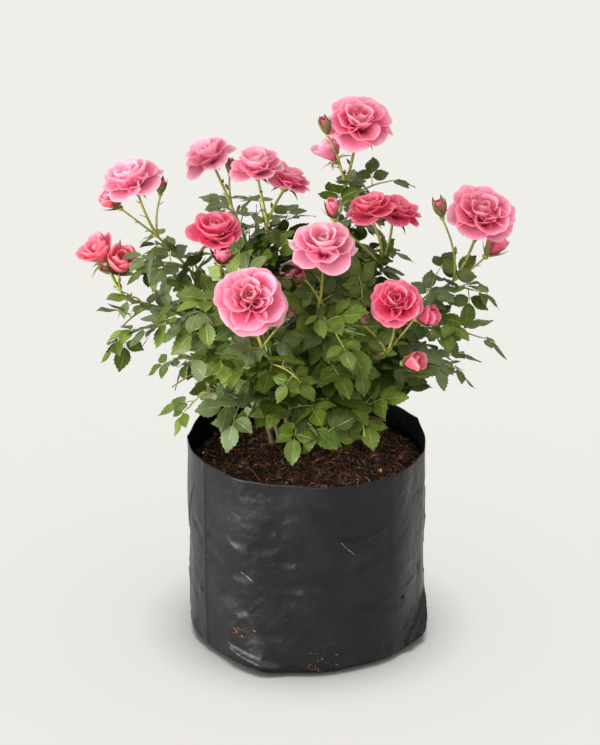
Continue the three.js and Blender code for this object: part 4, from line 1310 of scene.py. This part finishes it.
def dress_shoot(index, stems, space):
    """Everything of one shoot that stands for its mass: twigs, leaves and blossom, each kind one piece."""
    name = stems[0]["name"]
    mass = grow(index, stems, space)
    leaves, greenery, petals, cane = Heap(), Heap(), Heap(), Heap()
    add_cane(cane, stems[0])
    add_thorns(cane, stems[0]["line"], low=0.03, high=ENTER, every=9, thick=CANE_FOOT)
    for stem in stems:
        add_stem(greenery, stem)
        low = max(stem["bare"], 0.05)
        add_thorns(greenery, stem["line"], low, high=0.8, every=14, thick=STEM)
        for spec in stem["flowers"]:
            add_flower(petals, greenery, stem["line"], spec)
    for number, (curve, fine) in enumerate(mass.twigs):
        if number >= mass.named_twigs and is_bare(curve, 0 if fine else SKIRT_DROP):
            continue
        thick = TWIG * (0.6 if fine else 0.85)
        radii = np.linspace(thick, thick * 0.55, 7)
        add_tube(greenery, curve.points(np.linspace(0, 1, 7)), radii, 6, STALK_LIME)
    # Which leaves are grown is drawn before any of them is made
    for leaf in [leaf for leaf in mass.leaves if is_grown(leaf)]:
        off_blossom(leaf, space)
        add_leaf(leaves, greenery, leaf, leaf_slot(leaf, chance(index, leaf["spray"], 50)))
    node = f"foliage_{name}"
    dress(leaves.made(f"leaves_{name}", LEAVES), "foliage", node)
    dress(greenery.made(f"twigs_{name}", GREENERY), "cane", node)
    dress(petals.made(f"blossom_{name}", PETALS), "petal", node)
    dress(cane.made(f"bark_{name}", GREENERY), "cane", f"cane_{name}")


# The bag

FILM_EDGE = 0.6  # mm, how thick the film shows at its rim
BAG_COLUMNS = 420
BAG_ROWS = 120


def wall_radius(bearing, height):
    """The bag's outer radius at a bearing and a height, as in the source, with crisper tucks."""
    up = np.minimum(1, height / BASE_ROUND)
    inset = BASE_ROUND * (1 - np.sqrt(1 - (1 - up) ** 2))
    low = np.maximum(0, 1 - height / TUCK_HEIGHT)
    quarter = math.tau / TUCKS
    off = bearing - TUCK_BEARING
    away = off - quarter * np.round(off / quarter)
    tuck = TUCK_OUT * low * np.exp(-np.abs(away / TUCK_WIDTH) ** 1.4)
    return BAG_RADIUS + FACET_DEPTH * np.cos(FACETS * bearing + 0.4) - inset + tuck


def rough(x, y, z, size, seed=0.0):
    """Smooth noise from -1 to 1 with lumps of about that size."""
    return noise.noise(Vector((x / size + seed, y / size - seed, z / size + 2 * seed)))


# Ridges where the film is folded at the foot of the bag: the bearings they run between, their heights there,
# their half width and how far they stand out. The first three are the glossy pleat in front, and the next
# three the fold at the right.
PLEATS = [
    (-2.36, -1.62, 18, 3.0, 3.0, 3.2), (-2.30, -1.66, 11, 0.0, 1.7, 2.2), (-2.20, -1.80, 6, 1.5, 0.9, 1.2),
    (-0.70, -0.10, 0, 40, 2.0, 4.0), (-0.56, -0.06, 0, 27, 1.5, 3.2), (-0.42, -0.04, 1, 15, 1.2, 2.2),
    (0.95, 1.55, 3, 20, 1.6, 2.6), (2.50, 3.10, 16, 2.5, 1.4, 2.6),
]
SEAMS = ((-2.57, 1.2, 0.9), (1.9, 1.3, 0.8))  # upright creases: bearing, half width, height
# Bearings of the upright corners, where the bag was folded flat
CORNERS = np.array([0.35, 0.9, 1.45, 2.0, 2.5, 3.17, 3.72, 6.0])
WIDEST_GAP = 0.9  # corners further apart than this have round film between them
STRAIGHT = 0.75  # how nearly the film runs straight between its corners at the rim
CORNER_FADE = 0.7  # how much less it does at the foot
CORNER_OUT = 0.01  # how far the corners stand out, as a share of the bag's radius

# The plain dents in front: bearing, height, half width, half height, depth and slant
PRESSED = [
    (-1.66, 142, 14, 7, 1.1, 0.1), (-1.41, 139, 19, 9, 1.5, -0.1), (-1.94, 112, 14, 7, 1.1, 0.25),
    (-1.58, 105, 28, 10, 1.7, -0.05), (-2.13, 113, 13, 6, 0.6, 0), (-1.64, 80, 19, 7, 1.2, 0.15),
    (-2.14, 85, 13, 7, 0.7, 0.05), (-1.71, 68, 13, 6, 0.9, 0), (-1.40, 123, 15, 6, 0.9, 0.1),
    (-2.25, 140, 17, 11, 0.9, 0.3), (-2.22, 60, 18, 8, 0.9, -0.1), (-1.82, 128, 14, 7, 1.0, -0.2),
    (-1.10, 95, 18, 8, 1.1, 0.2), (-1.05, 60, 18, 8, 1.1, -0.15), (-2.0, 155, 14, 6, 0.6, -0.05),
]
DENTS_AROUND = 110
CREASES_AROUND = 34


def random_dents(count):
    """Shallow dents all round, that lie across the film where it hangs slack."""
    rows = []
    for _ in range(count):
        place = RNG.uniform((0, 12, 6, 4), (math.tau, BAG_HEIGHT - 16, 18, 8))
        rows.append((*place, *RNG.uniform((0.2, -0.4), (1.0, 0.4))))
    return rows


def random_creases(count):
    """Short straight creases, in the same order as a pleat's values."""
    rows = []
    for _ in range(count):
        at, level, reach, climb = RNG.uniform((0, 15, 0.2, -55), (math.tau, BAG_HEIGHT - 25, 0.6, 55))
        rows.append((at, at + reach, level, level + climb, *RNG.uniform((1.2, 0.3), (2.6, 1.0))))
    return rows


DENTS = PRESSED + random_dents(DENTS_AROUND)
CREASES = PLEATS + random_creases(CREASES_AROUND)


def turned(bearing, start):
    """How far round a bearing is from a start, from minus half a turn to half a turn."""
    return (bearing - start + math.pi) % math.tau - math.pi


def ridge(bearing, height, start, end, low, high, wide, out):
    """A straight crease in the film from one bearing and height to another. It fades at its ends."""
    share = turned(bearing, start) / (end - start)
    fade = np.clip(4 * share, 0, 1) * np.clip(4 * (1 - share), 0, 1)
    off = height - low - (high - low) * share
    return out * fade * np.exp(-((off / wide) ** 2))


def film_relief(bearing, height):
    """How far the film stands out of its round shape: dents, creases, pleats and seams."""
    relief = np.zeros_like(bearing)
    for at, level, wide, tall, depth, slant in DENTS:
        x, y = turned(bearing, at) * BAG_RADIUS, height - level
        x, y = x * math.cos(slant) + y * math.sin(slant), y * math.cos(slant) - x * math.sin(slant)
        bowed = y + 0.3 * tall * (x / wide) ** 2
        relief -= depth * np.maximum(0, 1 - (x / wide) ** 2 - (bowed / tall) ** 2) ** 1.3
    for crease in CREASES:
        relief += ridge(bearing, height, *crease)
    for at, wide, out in SEAMS:
        relief += out * np.exp(-((turned(bearing, at) * BAG_RADIUS / wide) ** 2))
    return relief


def corners(bearing, height):
    """The soft upright corners of the bag, where it was folded flat. They are sharpest at the open rim."""
    after = np.searchsorted(CORNERS, bearing % math.tau) % len(CORNERS)
    low = CORNERS[after - 1]
    gap = (CORNERS[after] - low) % math.tau
    away = (bearing - low) % math.tau - gap / 2
    chord = np.where(gap < WIDEST_GAP, np.cos(gap / 2) / np.cos(np.minimum(away, WIDEST_GAP)) - 1, 0)
    return STRAIGHT * BAG_RADIUS * (chord + CORNER_OUT) * (1 - CORNER_FADE * (1 - height / BAG_HEIGHT))


LOOSE_SWELL = 46  # mm, how wide the slow swells of loose film are
LOOSE_FOLD = 22  # and its faint upright folds


def slackness(bearing, height):
    """The slow swell and faint folds of loose film."""
    x, y = BAG_RADIUS * np.cos(bearing), BAG_RADIUS * np.sin(bearing)
    swell = [rough(px, py, pz, LOOSE_SWELL) for px, py, pz in zip(x, y, height)]
    folds = [abs(rough(px, py, pz * 0.3, LOOSE_FOLD, 3.1)) for px, py, pz in zip(x, y, height)]
    return 1.1 * np.array(swell) - 0.7 * np.array(folds)


CALM_FOOT = 9  # how far above the floor the creases are whole
CALM_RIM = 10  # and how far below the rim
CALM_SHARE = 0.35  # how much of them is left at the rim


def film_radius(bearing, height):
    """How far the creased film is from the bag's axis. It is calm at its rim and where it meets the floor."""
    near_rim = CALM_SHARE + (1 - CALM_SHARE) * np.clip((BAG_HEIGHT - height) / CALM_RIM, 0, 1)
    calm = np.clip(height / CALM_FOOT, 0, 1) * near_rim
    loose = film_relief(bearing, height) + slackness(bearing, height)
    return wall_radius(bearing, height) + corners(bearing, height) + calm * loose


def film_point(bearing, height):
    """A point on the outside of the film."""
    radius = film_radius(np.array([bearing]), np.array([float(height)]))[0]
    return np.array([radius * math.cos(bearing), radius * math.sin(bearing), height])


# The lip of a drain hole, from the outside in: its radius to the hole's, and how far it stands out
DRAIN_LIP = [(1.4, -1.5), (1.25, 0.3), (1.0, 0.5), (0.92, 0.3)]
DRAIN_SIDES = 12


def add_drain_holes(heap):
    """Small punched holes with a raised lip. The film behind is not cut: a near-black disc is painted shade
    for the dark compost inside.
    """
    turns = np.arange(DRAIN_SIDES) * math.tau / DRAIN_SIDES
    for degrees in (*DRAIN_BEARINGS, *(-d for d in DRAIN_BEARINGS)):
        bearing = math.radians(degrees)
        centre = film_point(bearing, DRAIN_HEIGHT)
        out = unit(centre * (1, 1, 0))
        side = cross(UP, out)
        ring = np.outer(np.cos(turns), side) + np.outer(np.sin(turns), UP)
        rings = [centre + ring * DRAIN_RADIUS * wide + out * proud for wide, proud in DRAIN_LIP]
        points = np.concatenate(rings)
        heap.add(points, grid_faces(len(DRAIN_LIP), DRAIN_SIDES, closed=True), 0)
        # The hole itself is a near-black disc of painted shade, and the film behind it is whole
        heap.add(points, (np.arange(DRAIN_SIDES) + DRAIN_SIDES * (len(DRAIN_LIP) - 1))[None], 1)


# Pale straws that stick to the film in front: bearing, height, length and the way they point, in radians
STRAWS = [(-2.13, 88, 11, -0.6), (-2.08, 86, 8, -0.7), (-1.30, 119, 8, -0.9), (-1.24, 112, 8, -0.8)]
STRAW = 0.13  # radius
BLEACHED = len(COIR) - 1

# Patches of husk on the film: bearing, height, how many bits there are and how far they spread
HUSK_PATCHES = [
    (-2.15, 33, 30, 5), (-1.50, 14, 24, 9), (-2.08, 78, 2, 5), (0.6, 24, 18, 12), (2.2, 30, 16, 12),
]
# How much of them each kind of coir is
HUSK_MIX = (0.05, 0.2, 0.25, 0.2, 0.3)


def husk_on_film():
    """Bits of husk and dust that cling to the film near its foot, and a few loose fibres higher up."""
    heap = Heap()
    for at, level, length, heading in STRAWS:
        shares = np.linspace(0, 1, 5) * length
        along = zip(at + shares * math.cos(heading) / BAG_RADIUS, level + shares * math.sin(heading))
        points = np.array([film_point(b, h) * (1.003, 1.003, 1) for b, h in along])
        rings, quads = tube(points, np.full(5, STRAW), 3)
        heap.add(rings, quads, BLEACHED)
    for at, level, count, spread in HUSK_PATCHES:
        for _ in range(count):
            bearing = at + RNG.normal(0, spread) / BAG_RADIUS
            height = max(4, level + RNG.normal(0, 0.7 * spread))
            heading, bend, length = RNG.uniform((-1.4, -0.8, 1.5), (1.4, 0.8, 5))
            shares = np.linspace(0, 1, 4)
            along = bearing + length * np.cumsum(np.cos(heading + bend * shares)) / 4 / BAG_RADIUS
            up = height + length * np.cumsum(np.sin(heading + bend * shares)) / 4
            points = np.array([film_point(b, max(3, h)) * (1.004, 1.004, 1) for b, h in zip(along, up)])
            rings, quads = tube(points, np.full(4, RNG.uniform(0.12, 0.24)), 3)
            heap.add(rings, quads, int(RNG.choice(len(HUSK_MIX), p=HUSK_MIX)))
    dress(heap.made("husk_on_film", COIR), "compost", "grow_bag")


# The rim stands higher than the compost, most of all at the back and the left, and waves a little. What lifts
# it begins RIM_BELOW under the compost's edge and is whole RIM_OVER further up.
RIM_LIFT = 5.4
RIM_BACK = 2.6
RIM_LEFT = 1.2
RIM_WAVE = 0.7
RIM_BELOW = 30
RIM_OVER = 42
RIM_INSIDE = (0.3, 2, 6, 12, 20)  # how far below the rim the rows of its inner side are
BASE_ROWS = (0.02, 0.4, 0.8)  # the rings of the flat base, as shares of its radius


def bag():
    """A thin-walled bag: its flat base, its creased wall, its rim and the inside down to the compost."""
    bearings = np.linspace(0, math.tau, BAG_COLUMNS, endpoint=False)
    heights = BAG_HEIGHT * np.linspace(0, 1, BAG_ROWS) ** 1.15
    height, bearing = grid(heights, bearings)
    radius = film_radius(bearing, height)
    wavy = 1.1 * np.sin(3 * bearing + 1) + 0.8 * np.sin(7 * bearing) + 0.4 * np.sin(19 * bearing + 2)
    lift = RIM_LIFT + RIM_BACK * np.sin(bearing) - RIM_LEFT * np.cos(bearing)
    near_rim = np.clip((height - COMPOST_EDGE + RIM_BELOW) / RIM_OVER, 0, 1)
    level = height + near_rim * (RIM_WAVE * wavy + lift)
    wall = np.stack([radius * np.cos(bearing), radius * np.sin(bearing), level], -1)
    top = wall[-BAG_COLUMNS:]
    flat = np.array([1, 1, 0])
    inner = [top - top * flat * (FILM_EDGE / BAG_RADIUS) - UP * drop for drop in RIM_INSIDE]
    base = wall[:BAG_COLUMNS]
    discs = [base * np.array([share, share, 1]) for share in BASE_ROWS]
    points = np.concatenate([*discs, wall, *inner])
    heap = Heap()
    rows = len(points) // BAG_COLUMNS
    heap.add(points, grid_faces(rows, BAG_COLUMNS, closed=True))
    heap.add(points, np.arange(BAG_COLUMNS)[::-1][None])
    add_drain_holes(heap)
    return dress(heap.made("grow_bag_film", FILM), "film", "grow_bag")


# The compost

def compost_level(x, y):
    """The compost's surface: flat round the canes, and lumpy from there to the film."""
    r = np.hypot(x, y)
    out = np.clip((r - GROUND_RADIUS) / (BAG_RADIUS - GROUND_RADIUS), 0, 1)
    lumps = LUMP * np.sin(x / 11 + 2) * np.cos(y / 13 + x / 29)
    return GROUND + (COMPOST_EDGE - GROUND) * out + lumps * np.sin(math.pi * np.minimum(1, out * 1.15))


EDGE_SUNK = 6  # how far the loose surface sinks where it meets the film, most of all at the back
EDGE_BAND = 22  # how far from the film that begins


def crumbly(x, y):
    """Clumps and crumbs on the compost's surface."""
    lumps = [
        8 * abs(rough(a, b, 2, 24)) - 3 + 3.4 * rough(a, b, 0, 10)
        + 1.8 * rough(a, b, 5, 4) + 1.0 * rough(a, b, 9, 2)
        for a, b in zip(x, y)
    ]
    near_film = np.clip((np.hypot(x, y) - BAG_RADIUS + EDGE_BAND) / EDGE_BAND, 0, 1)
    sunk = EDGE_SUNK * near_film * (0.55 + 0.45 * np.sin(np.arctan2(y, x) - 0.4))
    return compost_level(x, y) + np.array(lumps) - sunk


SURFACE_RINGS = 66
SURFACE_TURNS = 270


def compost_surface(heap):
    """The top of the compost as one crumbly sheet, from its middle to just short of the film."""
    rings = np.concatenate([[0.5], np.linspace(2, BAG_RADIUS + 0.6, SURFACE_RINGS)])
    turns = np.linspace(0, math.tau, SURFACE_TURNS, endpoint=False)
    r, turn = grid(rings, turns)
    reach = inside_film(turn, 2.4) / BAG_RADIUS
    x, y = r * reach * np.cos(turn), r * reach * np.sin(turn)
    points = np.stack([x, y, crumbly(x, y)], -1)
    heap.add(points, grid_faces(len(rings), len(turns), closed=True), 0)
    heap.add(points, np.arange(len(turns))[None], 0)


# A crumb is a knobbly icosahedron
ICO = (1 + 5 ** 0.5) / 2
CRUMB_POINTS = np.array([
    (-1, ICO, 0), (1, ICO, 0), (-1, -ICO, 0), (1, -ICO, 0), (0, -1, ICO), (0, 1, ICO),
    (0, -1, -ICO), (0, 1, -ICO), (ICO, 0, -1), (ICO, 0, 1), (-ICO, 0, -1), (-ICO, 0, 1),
]) / math.hypot(1, ICO)
CRUMB_FACES = np.array([
    (0, 11, 5), (0, 5, 1), (0, 1, 7), (0, 7, 10), (0, 10, 11), (1, 5, 9), (5, 11, 4), (11, 10, 2),
    (10, 7, 6), (7, 1, 8), (3, 9, 4), (3, 4, 2), (3, 2, 6), (3, 6, 8), (3, 8, 9), (4, 9, 5),
    (2, 4, 11), (6, 2, 10), (8, 6, 7), (9, 8, 1),
])
CRUMBS = 3200
FIBRES = 3600
# How much of the crumbs and of the fibres each kind of coir is
CRUMB_MIX = (0.535, 0.35, 0.07, 0.01, 0.03, 0.005)
FIBRE_MIX = (0.24, 0.28, 0.18, 0.1, 0.2)


def inside_film(turn, edge):
    """How far out one may go at a bearing on the compost and stay that far inside the film."""
    return wall_radius(turn, COMPOST_EDGE) + corners(turn, COMPOST_EDGE) - edge


def scatter(count, edge=4.5):
    """Places on the compost, spread evenly over its surface."""
    turn = RNG.uniform(0, math.tau, count)
    r = inside_film(turn, edge) * np.sqrt(RNG.random(count))
    return r * np.cos(turn), r * np.sin(turn)


def add_crumbs(heap):
    """Crumbs and chips of husk, each a knobbly lump."""
    x, y = scatter(CRUMBS)
    level = crumbly(x, y)
    for k in range(CRUMBS):
        size = 0.5 + 2.0 * RNG.random() ** 4
        stretch = RNG.uniform(0.4, 1.5, 3) * size
        knobs = CRUMB_POINTS * stretch * RNG.uniform(0.5, 1.3, (12, 1))
        turn = RNG.uniform(0, ANY_TURN)
        c, d = math.cos(turn), math.sin(turn)
        spin = np.array([[c, -d, 0], [d, c, 0], [0, 0, 1]])
        points = knobs @ spin.T + (x[k], y[k], level[k] + 0.3 * size)
        heap.add(points, CRUMB_FACES, int(RNG.choice(len(CRUMB_MIX), p=CRUMB_MIX)))


def add_fibres(heap):
    """Loose husk fibres that lie over the crumbs, some of them standing up a little."""
    x, y = scatter(FIBRES, 5.0)
    for k in range(FIBRES):
        length = 4 + 18 * RNG.random() ** 2
        turn, bend, rise = RNG.uniform((0, -0.9, -0.06), (ANY_TURN, 0.9, 0.3))
        shares = np.linspace(0, 1, 5)
        heading = turn + bend * shares * 1.6
        px = x[k] + length * np.cumsum(np.cos(heading)) / 5
        py = y[k] + length * np.cumsum(np.sin(heading)) / 5
        out = np.hypot(px, py) / inside_film(np.arctan2(py, px), 4.0)
        px, py = px / np.maximum(1, out), py / np.maximum(1, out)
        lift = 0.9 + length * rise * 0.35 * shares
        points = np.stack([px, py, crumbly(px, py) + lift], -1)
        thick = RNG.uniform(0.1, 0.24)
        rings, quads = tube(points, np.array([0.7, 1, 1, 0.9, 0.5]) * thick, 3)
        heap.add(rings, quads, int(RNG.choice(len(FIBRE_MIX), p=FIBRE_MIX)))


def compost():
    """The bag's filling of coco compost, as one piece."""
    heap = Heap()
    compost_surface(heap)
    add_crumbs(heap)
    add_fibres(heap)
    dress(heap.made("coco_compost", COIR), "compost", "compost")


# The stage

FLOOR = "#a09f9c"
FLOOR_HALF = 12.0  # metres


def stage():
    """A plain matt floor that reaches past the picture on all sides."""
    material, tree = new_material("studio_floor")
    shader = add(tree, "BsdfPrincipled", {
        "Base Color": colour(FLOOR), "Roughness": 1.0, "Specular IOR Level": 0.0,
    })
    add(tree, "OutputMaterial", {"Surface": shader})
    mesh = bpy.data.meshes.new("studio_floor")
    ends = [(x * FLOOR_HALF, y * FLOOR_HALF, 0) for x, y in ((-1, -1), (1, -1), (1, 1), (-1, 1))]
    mesh.from_pydata(ends, [], [(0, 1, 2, 3)])
    mesh.materials.append(material)
    floor = bpy.data.objects.new("studio_floor", mesh)
    bpy.context.scene.collection.objects.link(floor)
    return floor


AIM = (0, 0, 0.25)  # the foot of the crown, which all lights point at
BEAM = 70  # degrees, how wide a softbox shines


def add_light(name, kind, spot, power, spread):
    """A soft light that points at the plant. A sun's spread is the width of its disc in degrees, and a
    softbox's is its width in metres."""
    lamp = bpy.data.lights.new(name, kind)
    lamp.energy = power
    if kind == "SUN":
        lamp.angle = math.radians(spread)
    else:
        lamp.shape = "DISK"
        lamp.size = spread
        lamp.spread = math.radians(BEAM)
    light = bpy.data.objects.new(name, lamp)
    light.location = spot
    aim = Vector(AIM) - Vector(spot)
    light.rotation_euler = aim.to_track_quat("-Z", "Y").to_euler()
    bpy.context.scene.collection.objects.link(light)
    return light


# The studio's brightness by the sine of how high one looks: dim near the level of the floor, brightest at
# 25 degrees, and a little dimmer overhead
SKY_BANDS = [(0.0, "#3a3a3e"), (0.2, "#6c6c6f"), (0.42, "#fbfaf7"), (0.7, "#dddcd9"), (1.0, "#aeadab")]
SKY = 1.4


def linked(name, thing, state):
    """A list of one thing that a light keeps to, or leaves out."""
    listed = bpy.data.collections.new(name)
    listed.objects.link(thing)
    listed.collection_objects[0].light_linking.link_state = state
    return listed


# The lights on the plant and its pot: name, kind, place, power and spread. The floor has its own.
LIGHTS = [
    ("key", "SUN", (-0.7, -1.8, 2.5), 1.02, 70),
    ("fill", "SUN", (0.6, -1.9, 2.4), 0.48, 80),
    ("left_softbox", "AREA", (-1.5, -1.0, 0.3), 12, 1.2),
]
FLOOR_LIGHT = ("floor_wash", "SUN", (0, -0.01, 3), 5.0, 35)


def light_stage(floor, film):
    """A bright studio round the plant. The floor has a wide light of its own from straight above, so that
    it stays white up to the bag, and only the bag shades it there."""
    world = bpy.data.worlds.new("studio")
    world.use_nodes = True
    tree = world.node_tree
    rise = add(tree, "SeparateXYZ", {0: add(tree, "TexCoord").outputs["Generated"]}).outputs["Z"]
    tint = add(tree, "ValToRGB", {0: rise}, [(level, colour(tone)) for level, tone in SKY_BANDS])
    sky = tree.nodes["Background"]
    tree.links.new(tint.outputs[0], sky.inputs["Color"])
    sky.inputs["Strength"].default_value = SKY
    bpy.context.scene.world = world
    all_but_floor = linked("all_but_floor", floor, "EXCLUDE")
    for row in LIGHTS:
        add_light(*row).light_linking.receiver_collection = all_but_floor
    wash = add_light(*FLOOR_LIGHT)
    wash.light_linking.receiver_collection = linked("floor_alone", floor, "INCLUDE")
    wash.light_linking.blocker_collection = linked("film_alone", film, "INCLUDE")
    bpy.context.scene.view_settings.view_transform = "Standard"
    bpy.context.scene.view_settings.look = "None"


CAMERA_PLACE = (-0.0057, -1.881, 0.975)
CAMERA_PITCH = 21.73  # degrees below the level
FOCAL_PIXELS = 2500
PHOTO_HEIGHT = 745
SENSOR = 36.0  # mm


def camera():
    """The photo's camera, as the ellipse of the bag's rim gives it."""
    lens = bpy.data.cameras.new("studio_camera")
    lens.sensor_width = SENSOR
    lens.lens = FOCAL_PIXELS / PHOTO_HEIGHT * SENSOR
    eye = bpy.data.objects.new("studio_camera", lens)
    eye.location = CAMERA_PLACE
    eye.rotation_euler = (math.radians(90 - CAMERA_PITCH), 0, 0)
    bpy.context.scene.collection.objects.link(eye)
    bpy.context.scene.camera = eye


def plant():
    """All the shoots. Each keeps to its own space."""
    shoots = [stems_of(plan) for plan in SHOOTS]
    space = Space(shoots)
    for index, stems in enumerate(shoots):
        dress_shoot(index, stems, space)


camera()
light_stage(stage(), bag())
husk_on_film()
compost()
plant()
